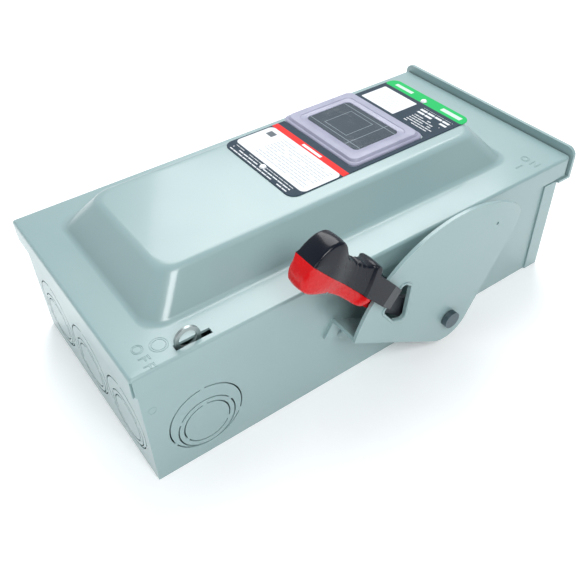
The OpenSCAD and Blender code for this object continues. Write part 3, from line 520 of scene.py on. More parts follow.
# ---------------------------------------------------------------- stamped marks on the cover
# The switch positions are stamped into the cover beside the lever's two ends of travel, as fine
# outlines in the sheet under the paint: OFF with a ring, and ON with a bar.
def stamped_line(name, paths, closed, width):
    """A thin raised line along some paths, as a mesh."""
    curve = bpy.data.curves.new(name, "CURVE")
    curve.dimensions = "3D"
    curve.bevel_depth = width
    curve.bevel_resolution = 2
    for path in paths:
        spline = curve.splines.new("POLY")
        spline.points.add(len(path) - 1)
        for point, place in zip(spline.points, path):
            point.co = (*place, 1)
        spline.use_cyclic_u = closed
    holder = bpy.data.objects.new(name, curve)
    bpy.context.scene.collection.objects.link(holder)
    return applied(holder)


def letter_paths(word, size, place):
    """Outlines of a word, laid on the cover about a place."""
    text = bpy.data.curves.new(word, "FONT")
    text.body = word
    text.size = size
    text.space_character = 1.5
    text.align_x = "CENTER"
    text.align_y = "CENTER"
    holder = bpy.data.objects.new(word, text)
    bpy.context.scene.collection.objects.link(holder)
    mesh = applied(holder)
    shape = bmesh.new()
    shape.from_mesh(mesh)
    bmesh.ops.remove_doubles(shape, verts=shape.verts, dist=1e-7)
    rims = [edge for edge in shape.edges if edge.is_boundary]
    paths = []
    while rims:
        first = rims.pop()
        path = [first.verts[0], first.verts[1]]
        while path[-1] is not path[0]:
            ahead = next((edge for edge in rims if path[-1] in edge.verts), None)
            if ahead is None:
                break
            rims.remove(ahead)
            path.append(ahead.other_vert(path[-1]))
        paths.append([place + vert.co for vert in path[:-1]])
    shape.free()
    return paths


def circle_path(place, radius, count=40):
    """Points round a flat circle on the cover."""
    return [place + Vector((radius * math.cos(turn), radius * math.sin(turn), 0))
            for turn in (2 * math.pi * step / count for step in range(count))]


stamp_level = skin_top + 0.02 * MM
stamp_width = 0.2 * MM
off_word = Vector((66.0 * MM, -139.6 * MM, stamp_level))
on_word = Vector((64.0 * MM, 131.0 * MM, stamp_level))
ring_place = Vector((63.5 * MM, -129.6 * MM, stamp_level))
on_bar = on_word - Vector((0, 10 * MM, 0))
marks = []
for word, size, place in (("OFF", 8.0, off_word), ("ON", 7.5, on_word), ("I", 8.0, on_bar)):
    marks += letter_paths(word, size * MM, place)
marks += [circle_path(ring_place, radius * MM) for radius in (4.6, 3.5)]
piece("stamped_marks", stamped_line("stamp", marks, True, stamp_width), paint, "cover")
wall_mark = Vector((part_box("enclosure_shell")[1][0], -143.4 * MM, 55 * MM))
wall_ring = [wall_mark + Vector((0, math.cos(turn), math.sin(turn))) * 2.2 * MM
             for turn in (2 * math.pi * step / 32 for step in range(32))]
piece("wall_mark", stamped_line("wall mark", [wall_ring], True, stamp_width), paint, "box")


# ---------------------------------------------------------------- nameplate
# A thin printed aluminium sheet with a dark slate ground, held by two white push rivets. It carries
# a green band, a white data panel, a red strip over a large white panel, and lines of small print,
# all shown here as plain bars.
printed = Finish("printed nameplate", linear(44, 62, 76), 0.6, Specular_IOR_Level=0.2)


def printed_box(west, east, south, north, corner=0.4):
    """1 inside a rounded box given in millimetres on the nameplate, 0 outside it."""
    across = (abs(printed.x * 1000 - (west + east) / 2) - ((east - west) / 2 - corner)).at_least(0)
    up = (abs(printed.y * 1000 - (south + north) / 2) - ((north - south) / 2 - corner)).at_least(0)
    return printed.steps((across * across + up * up).root(), corner + 0.15, corner - 0.15, 0.0, 1.0)


def print_lines(west, east, south, north, pitch, fill=0.5, word=5.0, seed=0.0):
    """Rows of short bars that run across a box, with gaps as between words."""
    row = (printed.y * 1000 - south) / pitch
    bar = row.fract() < fill
    column = (printed.x * 1000 + row.floor() * 7.31 + seed) / word
    random = printed.node("TexWhiteNoise", {"noise_dimensions": "2D"}, 0,
                          Vector=printed.node("CombineXYZ", X=column.floor(), Y=row.floor()))
    inked = maths(printed.tree, "GREATER_THAN", random, 0.16)
    gap = column.fract() > 0.12
    return printed_box(west, east, south, north, 0.1) * bar * inked * gap


ink_white = linear(226, 229, 232)
ink = printed.mix(printed.noise(40.0), linear(34, 52, 66), linear(40, 59, 74))
prints = [
    (printed_box(-41.5, 29.7, 101.8, 111.2, 2.0), linear(10, 178, 92)),
    (printed_box(-37.5, -6.5, 77.5, 98.5, 0.8), ink_white),
    (print_lines(-30, -12, 81, 95, 2.4, 0.3, 3.0, 4.0) * 0.45, linear(150, 178, 200)),
    (print_lines(0, 26, 91.5, 98.5, 3.4, 0.55, 6.5), ink_white),
    (print_lines(2, 24, 79, 89.5, 2.3, 0.36, 3.4, 2.0) * 0.9, ink_white),
    (printed_box(-35, -19, 104.8, 107.6, 0.3) * 0.75, ink_white),
    (printed_box(8, 25, 104.6, 108.0, 0.3) * 0.75, ink_white),
    (printed_box(-41.5, 29.7, 8.6, 13.2, 0.3), linear(226, 36, 32)),
    (printed_box(-12, 6, 9.9, 11.9, 0.2), ink_white),
    (printed_box(-40.6, 28.6, -19.0, 8.6, 3.5), ink_white),
    (print_lines(-24, 25, -15.5, 5.5, 2.2, 0.3, 4.0, 1.0) * 0.8, linear(160, 168, 176)),
    (printed_box(-36.4, -30.4, 0.4, 5.0, 0.4), linear(96, 104, 110)),
    (print_lines(-36, 22, -25.8, -20.6, 2.4, 0.34, 5.0, 3.0), ink_white),
]
for mask, color in prints:
    ink = printed.mix(mask, ink, color)
printed.feed("Base Color", ink)
printed.feed("Roughness", 0.5 + printed.noise(300.0) * 0.15)
printed.bump(printed.noise(500.0, 2.0), 0.00003, 0.3)
softened("nameplate", printed, 0.12)

nylon = Finish("white nylon", linear(232, 236, 238), 0.35, Coat_Weight=0.3)
nylon.feed("Roughness", 0.3 + nylon.noise(600.0) * 0.15)
nylon.feed("Base Color", nylon.mix(nylon.noise(200.0), linear(224, 230, 233), linear(240, 243, 245)))


# ---------------------------------------------------------------- viewing window
# A translucent moulded frame stands on the nameplate round a clear pane, with two steps down to the
# opening. Under the cover come a rubber gasket, the pane and a zinc-plated retainer with four screws.
def rounded_tube(rings_of_sizes, middle, corner):
    """A closed ring of plastic lofted through rounded rectangles round one middle."""
    rings = [rounded_ring(middle.x - wide / 2 * MM, middle.x + wide / 2 * MM,
                          middle.y - long / 2 * MM, middle.y + long / 2 * MM,
                          max(corner + (wide - 60) * 0.08, 1.0) * MM, level, arc=6, side=6)
             for wide, long, level in rings_of_sizes]
    return loft("tube", rings + rings[:1])


frame_low, frame_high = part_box("window_frame")
frame_base = frame_low[2]
frame_top = frame_high[2]
frame_sizes = [(71, 56, frame_base), (71, 56, frame_base + 0.9 * MM), (69.6, 54.6, frame_base + 1.5 * MM),
               (68.0, 53.0, frame_base + 1.7 * MM), (66.6, 51.6, frame_top - 0.5 * MM),
               (65.6, 50.6, frame_top), (56.5, 41.5, frame_top), (55.6, 40.6, frame_top - 0.5 * MM),
               (50.4, 35.4, frame_top - 0.7 * MM), (49.0, 34.0, frame_top - 1.0 * MM),
               (49.0, 34.0, frame_base)]
clear_frame = Finish("translucent frame", linear(168, 168, 190), 0.35, Coat_Weight=0.2,
                     Coat_Roughness=0.15, IOR=1.49)
cloud = clear_frame.noise(60.0, 3.0)
clear_frame.feed("Base Color", clear_frame.mix(cloud, linear(150, 151, 176), linear(176, 176, 198)))
clear_frame.feed("Alpha", 0.74 + cloud * 0.16)
clear_frame.feed("Roughness", 0.28 + clear_frame.noise(250.0) * 0.14)
window_ring = piece("window_frame_moulded", rounded_tube(frame_sizes, window_middle, 4.0), clear_frame,
                    "cover", ("window_frame",))
soften(window_ring, 0.25, 2, 25)

lens = Finish("tinted pane", linear(62, 72, 80), 0.12, Coat_Weight=0.3, IOR=1.5)
across_pane = lens.x * 1000 - window_middle.x / MM
along_pane = lens.y * 1000 - window_middle.y / MM


def pane_outline(wide, long, line=0.35):
    """1 on a thin rectangle of this size round the middle of the pane's pattern."""
    side = (abs(across_pane + 3.0) - wide / 2)
    end = (abs(along_pane) - long / 2)
    nearest = abs(side.at_least(end))
    return lens.steps(nearest, line, line * 0.4, 0.0, 1.0)


pane_marks = pane_outline(21, 21)
pane_marks = pane_marks.at_least(lens.steps(abs(across_pane - 14.5), 0.4, 0.15, 0.0, 1.0))
pane_marks = pane_marks.at_least(lens.steps(abs(abs(along_pane) - 13.5), 0.4, 0.15, 0.0, 1.0))
pane_tone = lens.mix(lens.noise(50.0), linear(52, 63, 72), linear(70, 82, 92))
lens.feed("Base Color", lens.mix(pane_marks * 0.55, pane_tone, linear(164, 176, 184)))
lens.feed("Alpha", 0.86 + lens.noise(25.0) * 0.08)
lens.feed("Roughness", 0.08 + lens.steps(lens.noise(90.0, 4.0), 0.5, 0.8) * 0.12)
softened("window_lens", lens, 0.2)
gasket = Finish("gasket rubber", linear(34, 34, 35), 0.75)
gasket.feed("Roughness", 0.65 + gasket.noise(500.0) * 0.25)
gasket.feed("Base Color", gasket.mix(gasket.noise(300.0), linear(28, 28, 29), linear(44, 44, 45)))
softened("window_gasket", gasket, 0.15)
softened("window_retainer", zinc, 0.2)


# ---------------------------------------------------------------- rivets
# Three steel rivets hold the handle bracket's foot and two nylon push rivets hold the nameplate.
# Each is a headed pin, its free end upset or spread behind the sheet, and they all share one form.
def made_by_nodes(tree, inputs, mesh=None):
    """The plain mesh that a node tree gives from named inputs."""
    holder = bpy.data.objects.new("work", mesh or bpy.data.meshes.new("work"))
    bpy.context.scene.collection.objects.link(holder)
    modifier = holder.modifiers.new("nodes", "NODES")
    modifier.node_group = tree
    for socket in tree.interface.items_tree:
        if socket.in_out == "INPUT" and socket.name in inputs:
            modifier[socket.identifier] = inputs[socket.name]
    return applied(holder)


def new_tree(name, sizes, vectors=()):
    """A node tree with named inputs for sizes, vectors and a finish, and its two end nodes."""
    tree = bpy.data.node_groups.new(name, "GeometryNodeTree")
    kinds = [("Geometry", "Geometry")] + [(label, "Float") for label in sizes]
    kinds += [(label, "Vector") for label in vectors] + [("Finish", "Material")]
    for label, kind in kinds:
        tree.interface.new_socket(label, in_out="INPUT", socket_type="NodeSocket" + kind)
    tree.interface.new_socket("Geometry", in_out="OUTPUT", socket_type="NodeSocketGeometry")
    return tree, tree.nodes.new("NodeGroupInput"), tree.nodes.new("NodeGroupOutput")


def in_a_row(tree, *nodes):
    """Links each node's first output to the first input of the next."""
    for node, after in zip(nodes, nodes[1:]):
        tree.links.new(node.outputs[0], after.inputs[0])


rivet_sizes = ("Head Radius", "Head Height", "Shank Radius", "Shank Length", "Tail Radius", "Tail Height")


def rivet_tree():
    """A node tree that puts one headed pin at every vertex it is given."""
    tree, given, result = new_tree("rivets", rivet_sizes, ("Turn",))
    link = tree.links.new

    def sum_of(operation, first, second):
        node = tree.nodes.new("ShaderNodeMath")
        node.operation = operation
        for socket, term in zip(node.inputs, (first, second)):
            if isinstance(term, float):
                socket.default_value = term
            else:
                link(term, socket)
        return node.outputs[0]

    def stack(bottom_radius, top_radius, height, level=None):
        """A round step of the pin, from a level up, or from the sheet up if none is given."""
        cone = tree.nodes.new("GeometryNodeMeshCone")
        cone.inputs["Vertices"].default_value = 32
        link(bottom_radius, cone.inputs["Radius Bottom"])
        link(top_radius, cone.inputs["Radius Top"])
        link(height, cone.inputs["Depth"])
        shift = tree.nodes.new("GeometryNodeTransform")
        vector = tree.nodes.new("ShaderNodeCombineXYZ")
        if level is not None:
            link(level, vector.inputs["Z"])
        link(vector.outputs[0], shift.inputs["Translation"])
        link(cone.outputs["Mesh"], shift.inputs["Geometry"])
        return shift.outputs["Geometry"]

    head_radius = given.outputs["Head Radius"]
    shank_radius = given.outputs["Shank Radius"]
    tail_radius = given.outputs["Tail Radius"]
    below = sum_of("MULTIPLY", given.outputs["Shank Length"], -1.0)
    dome = 0.72
    steps = [stack(head_radius, sum_of("MULTIPLY", head_radius, dome), given.outputs["Head Height"]),
             stack(shank_radius, shank_radius, given.outputs["Shank Length"], below),
             stack(tail_radius, tail_radius, given.outputs["Tail Height"],
                   sum_of("SUBTRACT", below, given.outputs["Tail Height"]))]
    whole = tree.nodes.new("GeometryNodeJoinGeometry")
    for step in steps:
        link(step, whole.inputs[0])
    points = tree.nodes.new("GeometryNodeMeshToPoints")
    copies = tree.nodes.new("GeometryNodeInstanceOnPoints")
    real = tree.nodes.new("GeometryNodeRealizeInstances")
    finish = tree.nodes.new("GeometryNodeSetMaterial")
    in_a_row(tree, given, points, copies, real, finish, result)
    link(whole.outputs["Geometry"], copies.inputs["Instance"])
    link(given.outputs["Turn"], copies.inputs["Rotation"])
    link(given.outputs["Finish"], finish.inputs["Material"])
    return tree


rivets = rivet_tree()


def riveted(name, places, turn, sizes, finish):
    """Rivets at some places, with head, shank and tail sizes in millimetres, for a CAD node."""
    spots = bpy.data.meshes.new("spots")
    spots.from_pydata(places, [], [])
    inputs = {label: size * MM for label, size in zip(rivet_sizes, sizes)}
    inputs["Turn"] = turn
    inputs["Finish"] = finish.material
    mesh = made_by_nodes(rivets, inputs, spots)
    thing = piece(name + "_headed", mesh, finish, body_of[name], (name,))
    return soften(thing, 0.45, 3)


shaft_y = 38.6
shaft_z = 27.2
foot_turn = math.radians(148.4)
foot_along = Vector((0, math.cos(foot_turn), math.sin(foot_turn))) * MM
foot_over = Vector((0, -math.sin(foot_turn), math.cos(foot_turn))) * MM
foot_face = 76.0
foot_start = Vector((foot_face, shaft_y, shaft_z)) * MM + foot_over * 24.5
foot_places = [foot_start + foot_along * reach for reach in (18, 40, 62)]
steel_rivet = (3.6, 1.4, 2.0, 3.5, 3.6, 1.2)
riveted("bracket_rivets", foot_places, (0.0, math.pi / 2, 0.0), steel_rivet, paint)
push_rivet = (2.3, 1.0, 1.6, 3.0, 1.9, 0.5)
push_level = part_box("nameplate_rivets")[1][2] - push_rivet[1] * MM
push_places = [Vector((-6.2 * MM, y * MM, push_level)) for y in (104, -22)]
riveted("nameplate_rivets", push_places, (0.0, 0.0, 0.0), push_rivet, nylon)


# ---------------------------------------------------------------- handle bracket
# A pressed steel quadrant stands off the side wall on a folded, riveted foot. Its far edge is rolled
# back towards the cover, its padlock opening has a raised lip, and all of it is powder coated.
def about_shaft(x, reach, angle):
    """A place in metres at a radius and an angle about the lever's shaft, all given in millimetres."""
    turn = math.radians(angle)
    return Vector((x, shaft_y + reach * math.cos(turn), shaft_z + reach * math.sin(turn))) * MM


def drum(center, axis, radius, length, sides=32):
    """A plain cylinder to cut with, centred on a place, along X or Z."""
    mesh = bpy.data.meshes.new("drum")
    shape = bmesh.new()
    turn = {"X": Matrix.Rotation(math.pi / 2, 4, "Y"), "Z": Matrix.Identity(4)}[axis]
    bmesh.ops.create_cone(shape, segments=sides, radius1=radius, radius2=radius, depth=length,
                          cap_ends=True, matrix=Matrix.Translation(center) @ turn)
    shape.to_mesh(mesh)
    shape.free()
    return mesh


def offset_outline(corners, radius, arc=6):
    """The outline a set distance outside a convex polygon given as Y and Z, with round corners."""
    middle = sum(corners, Vector((0, 0))) / len(corners)
    corners = sorted(corners, key=lambda c: math.atan2(c.y - middle.y, c.x - middle.x))
    outline = []
    for index, corner in enumerate(corners):
        before = corner - corners[index - 1]
        after = corners[(index + 1) % len(corners)] - corner
        start = math.atan2(-before.x, before.y)
        sweep = (math.atan2(-after.x, after.y) - start) % (2 * math.pi)
        for step in range(arc + 1):
            turn = start + sweep * step / arc
            outline.append(corner + Vector((math.cos(turn), math.sin(turn))) * radius)
    return outline


quadrant_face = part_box("handle_bracket")[1][0]
tool_hole = Vector((quadrant_face - 4 * MM, 68.1 * MM, 83.8 * MM))
tool_hole_radius = 1.1 * MM
hole_drum = drum(tool_hole, "X", tool_hole_radius, 20 * MM, 24)
bracket_mesh = cut(cad_copy("handle_bracket"), [hole_drum])
bracket = piece("bracket_pressed", bracket_mesh, paint, "box", ("handle_bracket",))
for face in bracket.data.polygons:
    face.use_smooth = abs(face.normal.x) < 0.99999
bracket.data.set_sharp_from_angle(angle=math.radians(12))
rim = bracket.modifiers.new("rim", "BEVEL")
rim.width = 0.3 * MM
rim.segments = 2
rim.limit_method = "ANGLE"
rim.angle_limit = math.radians(60)
hole_corners = [about_shaft(0, reach, angle).yz for reach, angle in
                ((60.5, 131.5), (57.5, 131), (47, 148), (52, 149), (62, 145))]
lip_outline = offset_outline(hole_corners, 3.3 * MM)
lip_path = [Vector((quadrant_face + 0.05 * MM, place.x, place.y)) for place in lip_outline]
piece("padlock_opening_lip", stamped_line("lip", [lip_path], True, 0.85 * MM), paint, "box")


# ---------------------------------------------------------------- lever grip
# The grip is two glass-filled nylon halves, black above and red below, screwed together over the
# arm's tongue. Each half has a collar, a waisted middle and a bulb at the end, and the black half has
# finger ribs.
def moulded(name, low, high, roughness):
    """Moulded plastic with a soft sheen, a trace of flow in its colour and a few scuffs."""
    finish = Finish(name, low, roughness, Coat_Weight=0.12, Coat_Roughness=0.06, Specular_IOR_Level=0.2)
    finish.feed("Base Color", finish.mix(finish.noise(55.0, 4.0), low, high))
    scuff = finish.steps(finish.noise(150.0, 5.0, 0.65, (1.0, 3.0, 1.0)), 0.56, 0.72)
    finish.feed("Roughness", roughness + scuff * 0.12 + finish.noise(420.0) * 0.06)
    finish.bump(finish.noise(900.0, 3.0), 0.00003, 0.35)
    return finish


black_nylon = moulded("black grip", linear(9, 13, 22), linear(14, 19, 31), 0.2)
red_nylon = moulded("red grip", linear(184, 6, 12), linear(202, 12, 18), 0.24)
phenolic = moulded("black moulding", linear(30, 31, 34), linear(40, 41, 45), 0.34)

grip_start = about_shaft(0, 88.8, 140.3)
grip_turn = math.radians(131.5)
grip_along = Vector((0, math.cos(grip_turn), math.sin(grip_turn)))
grip_over = Vector((0, -math.sin(grip_turn), math.cos(grip_turn)))
grip_low, grip_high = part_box("grip_black")
grip_middle = (grip_low[0] + grip_high[0]) / 2
grip_half = (grip_high[0] - grip_low[0]) / 2 / MM - 0.4


def on_grip(x, a, c):
    """A place at a height along the grip and a distance across it, red side positive."""
    return grip_start + Vector((x, 0, 0)) + (grip_along * a + grip_over * c) * MM


def smooth_path(corners, steps=7):
    """A rounded curve through corner points, each a pair of numbers."""
    ends = [corners[0]] + list(corners) + [corners[-1]]
    path = []
    for index in range(1, len(ends) - 2):
        p, q, r, s = [Vector(ends[index + shift]) for shift in (-1, 0, 1, 2)]
        for step in range(steps):
            t = step / steps
            path.append(0.5 * (2 * q + (r - p) * t + (2 * p - 5 * q + 4 * r - s) * t * t
                               + (3 * q - p - 3 * r + s) * t * t * t))
    path.append(Vector(corners[-1]))
    return path


def waist(u):
    """How far the grip's sides pull in, at a distance along it."""
    if u < 5.6:
        return 0.7 * max(0.0, 1 - u / 0.9) ** 2
    if u < 6.2:
        return 1.5 * (u - 5.6) / 0.6
    if u < 21:
        return 1.5 + 1.3 * math.sin(math.pi / 2 * (u - 6.2) / 14.8)
    if u < 39:
        return 0.4 + 2.4 * (0.5 + 0.5 * math.cos(math.pi * (u - 21) / 18))
    return 0.4


def closed_off(mesh, count, starts):
    """Closes a loft with flat faces on the rings that start at some vertices, faces outwards."""
    shape = bmesh.new()
    shape.from_mesh(mesh)
    shape.verts.ensure_lookup_table()
    for start in starts:
        shape.faces.new([shape.verts[start + step] for step in range(count)])
    bmesh.ops.remove_doubles(shape, verts=shape.verts, dist=1e-6)
    bmesh.ops.recalc_face_normals(shape, faces=shape.faces)
    shape.to_mesh(mesh)
    shape.free()
    return mesh


def grip_half_mesh(name, outline, side, lean, corner, ribs):
    """One half of the grip: closed sections from the seam over its back, along its outline."""
    rings = []
    for a, height in outline:
        u = a - lean * height
        half = grip_half - waist(u)
        rise = height
        if ribs and 9 < u < 26:
            rise += 0.45 * math.cos((u - 9) * 2 * math.pi / 3.4) * math.sin(math.pi * (u - 9) / 17)
        bend = min(corner, rise * 0.6)
        section = [(half - 0.25, 0.0), (half, 0.3 * min(1, rise))]
        section += [(half + 0.35 * math.sin(math.pi * part), part * (rise - bend)) for part in (0.3, 0.6)]
        for step in range(6):
            turn = math.pi / 2 * step / 5
            section.append((half - bend + bend * math.cos(turn), rise - bend + bend * math.sin(turn)))
        for part in (0.6, 0.3, 0.0):
            section.append(((half - bend) * part, rise + 0.35 * (1 - part * part) * min(1, rise / 4)))
        section += [(-x, c) for x, c in reversed(section[:-1])]
        rings.append([on_grip(grip_middle + x * MM, u + lean * c, side * c) for x, c in section])
    return closed_off(loft(name, rings), len(rings[0]), (0,))


def prism(corners, low, high):
    """A flat slab between two X planes, its outline given on the grip."""
    rings = [[on_grip(level, a, c) for a, c in corners] for level in (low, high)]
    return closed_off(loft("prism", rings), len(corners), (0, len(corners)))


def joined(meshes, name):
    """Some meshes as one."""
    shape = bmesh.new()
    for mesh in meshes:
        shape.from_mesh(mesh)
    whole = bpy.data.meshes.new(name)
    shape.to_mesh(whole)
    shape.free()
    return whole


black_outline = [(8.6, 16.2), (9.2, 17.0), (12.4, 16.6), (16, 14.2), (22, 12.4), (28.4, 11.9),
                 (34.6, 12.8), (39.4, 15.3), (43.2, 16.8), (47.3, 16.2), (50.6, 13.0), (52.8, 7.4),
                 (53.6, 0.0)]
red_outline = [(4.6, 5.5), (5.2, 6.2), (14, 6.6), (22, 7.0), (29.9, 8.5), (37.9, 11.1), (44.1, 12.7),
               (48.8, 12.1), (51.9, 8.8), (53.2, 4.4), (53.6, 0.0)]
cheek_low = 87.1 * MM
cheek_high = 91.9 * MM
strap_low = 96.4 * MM
strap_high = 100.0 * MM
seam = 0.05
black_cheek = [(-30, -seam), (5, -seam), (9, -13), (-24, -13)]
black_strap = [(-14, -seam), (5, -seam), (9, -13), (-12, -13)]
red_cheek = [(-28, seam), (5, seam), (5, 6.0), (-25, 6.0)]
nose = prism([(-14, 0), (-12, -13), (-23.5, -12.4), (-25.5, -0.6)], strap_low, strap_low + 0.9 * MM)
for vertex in nose.vertices:
    reach = (vertex.co - grip_start).dot(grip_along) / MM
    if reach > -16 and vertex.co.x > strap_low + 0.5 * MM:
        vertex.co.x = strap_high
black_parts = [grip_half_mesh("black half", smooth_path(black_outline), -1, 0.467, 1.7, True),
               prism(black_cheek, cheek_low, cheek_high), prism(black_strap, strap_low, strap_high),
               nose]
black_grip = piece("grip_black_moulded", joined(black_parts, "black grip"), black_nylon, "handle",
                   ("grip_black",))
soften(black_grip, 0.5, 3, 45)
screws_low, screws_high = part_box("grip_screws")
screw_reaches = (32, 42.5)
screw_seat = 6.6
recess_radius = 3.2 * MM
recess_length = 10 * MM


def screw_recess(a):
    """A cylinder to cut with, over the head of the grip screw at a distance along the grip."""
    mesh = drum((0, 0, recess_length / 2), "Z", recess_radius, recess_length)
    place = on_grip((screws_low[0] + screws_high[0]) / 2, a, screw_seat)
    mesh.transform(Matrix.Translation(place) @ Matrix.Rotation(grip_turn, 4, "X"))
    return mesh


red_half = grip_half_mesh("red half", smooth_path(red_outline), 1, 0.6, 2.6, False)
red_parts = [cut(red_half, [screw_recess(reach) for reach in screw_reaches]),
             prism(red_cheek, cheek_low, cheek_high)]
red_mesh = joined(red_parts, "red grip")
red_grip = piece("grip_red_moulded", red_mesh, red_nylon, "handle", ("grip_red",))
soften(red_grip, 0.4, 3, 45)


# ---------------------------------------------------------------- arm, shaft and bushing
# The arm is a flat black-coated steel bar with a turned hub, pinned across the plated shaft by a
# roll pin. The shaft turns in a moulded bushing in the wall and ends in a wide turned head.
coated = Finish("black coating", linear(40, 44, 50), 0.42)
coated.feed("Base Color", coated.mix(coated.noise(70.0, 4.0), linear(30, 34, 40), linear(50, 54, 60)))
coated.feed("Roughness", 0.36 + coated.noise(380.0) * 0.16)
coated.bump(coated.noise(1200.0), 0.00003, 0.4)
softened("handle_arm", coated, 0.4, 3)
shaft_steel = plated("shaft steel", linear(112, 124, 130), 0.4, linear(92, 104, 110))
softened("drive_shaft", shaft_steel, 0.6, 3)
softened("shaft_bushing", phenolic, 0.3)


# ---------------------------------------------------------------- hinges and latch
# The cover turns on two steel butt hinges, each with painted leaves and a headed pin. At the lever's
# side a zinc-plated plate slides along the wall inside, and its padlock loop stands through a slot.
for name in ("box_hinge_leaves", "cover_hinge_leaves"):
    softened(name, paint, 0.3)
galvanised = plated("galvanised plate", linear(176, 184, 184), 0.38, linear(150, 160, 160))
softened("cover_latch", galvanised, 0.35, 3)


# ---------------------------------------------------------------- springs
# Two springs of hard drawn wire: the long one throws the lever over its centre and hooks over pins
# at both ends, and the small one pushes the latch home. Each coil is swept along its own helix.
def coil_tree():
    """A node tree that sweeps a round wire along a helix given by four sizes."""
    tree, given, result = new_tree("coil", ("Coil Radius", "Wire Radius", "Turns", "Length"))
    helix = tree.nodes.new("GeometryNodeCurveSpiral")
    helix.inputs["Resolution"].default_value = 24
    wire = tree.nodes.new("GeometryNodeCurvePrimitiveCircle")
    wire.inputs["Resolution"].default_value = 10
    sweep = tree.nodes.new("GeometryNodeCurveToMesh")
    sweep.inputs["Fill Caps"].default_value = True
    smooth = tree.nodes.new("GeometryNodeSetShadeSmooth")
    real = tree.nodes.new("GeometryNodeRealizeInstances")
    finish = tree.nodes.new("GeometryNodeSetMaterial")
    in_a_row(tree, helix, sweep, smooth, real, finish, result)
    for label, socket in (("Coil Radius", helix.inputs["Start Radius"]),
                          ("Coil Radius", helix.inputs["End Radius"]),
                          ("Turns", helix.inputs["Rotations"]), ("Length", helix.inputs["Height"]),
                          ("Wire Radius", wire.inputs["Radius"]), ("Finish", finish.inputs["Material"])):
        tree.links.new(given.outputs[label], socket)
    tree.links.new(wire.outputs["Curve"], sweep.inputs["Profile Curve"])
    return tree


def placed(mesh, matrix):
    """A mesh moved by a matrix."""
    mesh.transform(matrix)
    return mesh


coil = coil_tree()
wire_steel = plated("spring wire", linear(118, 120, 124), 0.3, linear(92, 94, 98))
spring_low, spring_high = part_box("over_center_spring")
spring_x = (spring_low[0] + spring_high[0]) / 2
arm_pin = about_shaft(0, 14, 50.8)
anchor_pin = Vector((0, -8, 14)) * MM
arm_pin.x = spring_x
anchor_pin.x = spring_x
coil_inset = 6 * MM
hook_reach = 6.2 * MM
spring_way = anchor_pin - arm_pin
spring_turn = spring_way.to_track_quat("Z", "X").to_matrix().to_4x4()
coil_sizes = {"Coil Radius": 3.2 * MM, "Wire Radius": 0.75 * MM, "Turns": 18.0,
              "Length": spring_way.length - 2 * coil_inset}
coil_mesh = made_by_nodes(coil, coil_sizes | {"Finish": wire_steel.material})
coil_start = Matrix.Translation((0, 0, coil_inset))
placed(coil_mesh, Matrix.Translation(arm_pin) @ spring_turn @ coil_start)


def hook(pin, way, reach, radius):
    """The open loop at a spring's end and the straight wire from it to the coil."""
    side = way.cross(Vector((1, 0, 0))).normalized()
    loop = [pin + (way.normalized() * math.cos(turn) + side * math.sin(turn)) * radius
            for turn in (math.radians(angle) for angle in range(20, 341, 16))]
    return loop + [pin + way.normalized() * reach]


hooks = stamped_line("hooks", [hook(arm_pin, spring_way, hook_reach, 2.3 * MM),
                               hook(anchor_pin, -spring_way, hook_reach, 2.8 * MM)], False, 0.7 * MM)
long_spring = piece("over_center_coil", joined([coil_mesh, hooks], "long spring"), wire_steel, None,
                    ("over_center_spring",))
shade_smooth(long_spring)
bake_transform(long_spring)

latch_spring_low, latch_spring_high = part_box("latch_spring")
small_middle = (latch_spring_low + latch_spring_high) / 2
small_length = latch_spring_high[1] - latch_spring_low[1]
small_sizes = {"Coil Radius": 1.4 * MM, "Wire Radius": 0.4 * MM, "Turns": 9.0,
               "Length": small_length - 1.0 * MM}
small_coil = made_by_nodes(coil, small_sizes | {"Finish": wire_steel.material})
small_turn = Matrix.Rotation(-math.pi / 2, 4, "X")
small_start = Vector((small_middle[0], latch_spring_low[1] + 0.5 * MM, small_middle[2]))
small_spring = piece("latch_coil", placed(small_coil, Matrix.Translation(small_start) @ small_turn),
                     wire_steel, "box", ("latch_spring",))
shade_smooth(small_spring)


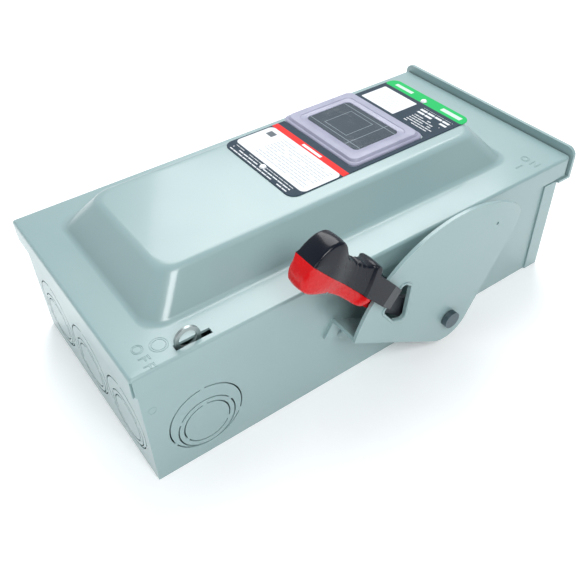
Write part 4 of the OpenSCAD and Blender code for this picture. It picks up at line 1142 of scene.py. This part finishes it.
# ---------------------------------------------------------------- switch
# A black phenolic base carries three poles: tinned copper jaws and blades, aluminium lugs and pale
# fibre arc chutes, under a clear shield on the line side. A maroon insulated bar turns the blades.
softened("switch_base", phenolic, 0.4)
copper = plated("tinned copper", linear(214, 150, 112), 0.28, linear(190, 128, 92))
for name in ("line_jaws", "load_jaws", "moving_blades"):
    softened(name, copper, 0.2)
lug_metal = plated("lug aluminium", linear(206, 208, 210), 0.32, linear(186, 189, 192))
for name in ("line_lugs", "load_lugs"):
    softened(name, lug_metal, 0.35)
fibre = Finish("chute fibre", linear(196, 190, 172), 0.7)
fibre.feed("Base Color", fibre.mix(fibre.noise(240.0, 4.0, 0.6, (1, 4, 1)), linear(184, 178, 160),
                                   linear(208, 203, 188)))
fibre.feed("Roughness", 0.62 + fibre.noise(300.0) * 0.2)
softened("arc_chutes", fibre, 0.3)
maroon = moulded("crossbar resin", linear(92, 30, 27), linear(106, 38, 33), 0.4)
softened("rotor_crossbar", maroon, 0.4)
shield_sheet = Finish("clear shield", linear(206, 222, 230), 0.12, Coat_Weight=0.4)
shield_sheet.feed("Alpha", 0.34 + shield_sheet.noise(40.0) * 0.08)
shield_sheet.feed("Roughness", 0.08 + shield_sheet.noise(120.0) * 0.1)
shield_sheet.feed("Base Color", shield_sheet.mix(shield_sheet.noise(60.0), linear(196, 214, 222),
                                                 linear(214, 228, 236)))
softened("line_shield", shield_sheet, 0.3)


# ---------------------------------------------------------------- mechanism and ground bar
# Levers, link and frame are blanked from 2 to 3 mm steel and zinc plated. The ground bar is brass
# with green screws, bolted to the back of the box where the paint is masked off.
for name in ("mechanism_frame", "drive_crank", "spring_arm", "interlock_lever", "drive_link",
             "rotor_lever", "interlock_catch"):
    softened(name, zinc, 0.25)
brass = plated("brass", linear(206, 176, 104), 0.3, linear(184, 152, 84))
softened("ground_bar", brass, 0.35)
green_screw = plated("green screw", linear(66, 128, 84), 0.4, linear(50, 108, 70))
softened("ground_bar_screws", green_screw, 0.2)
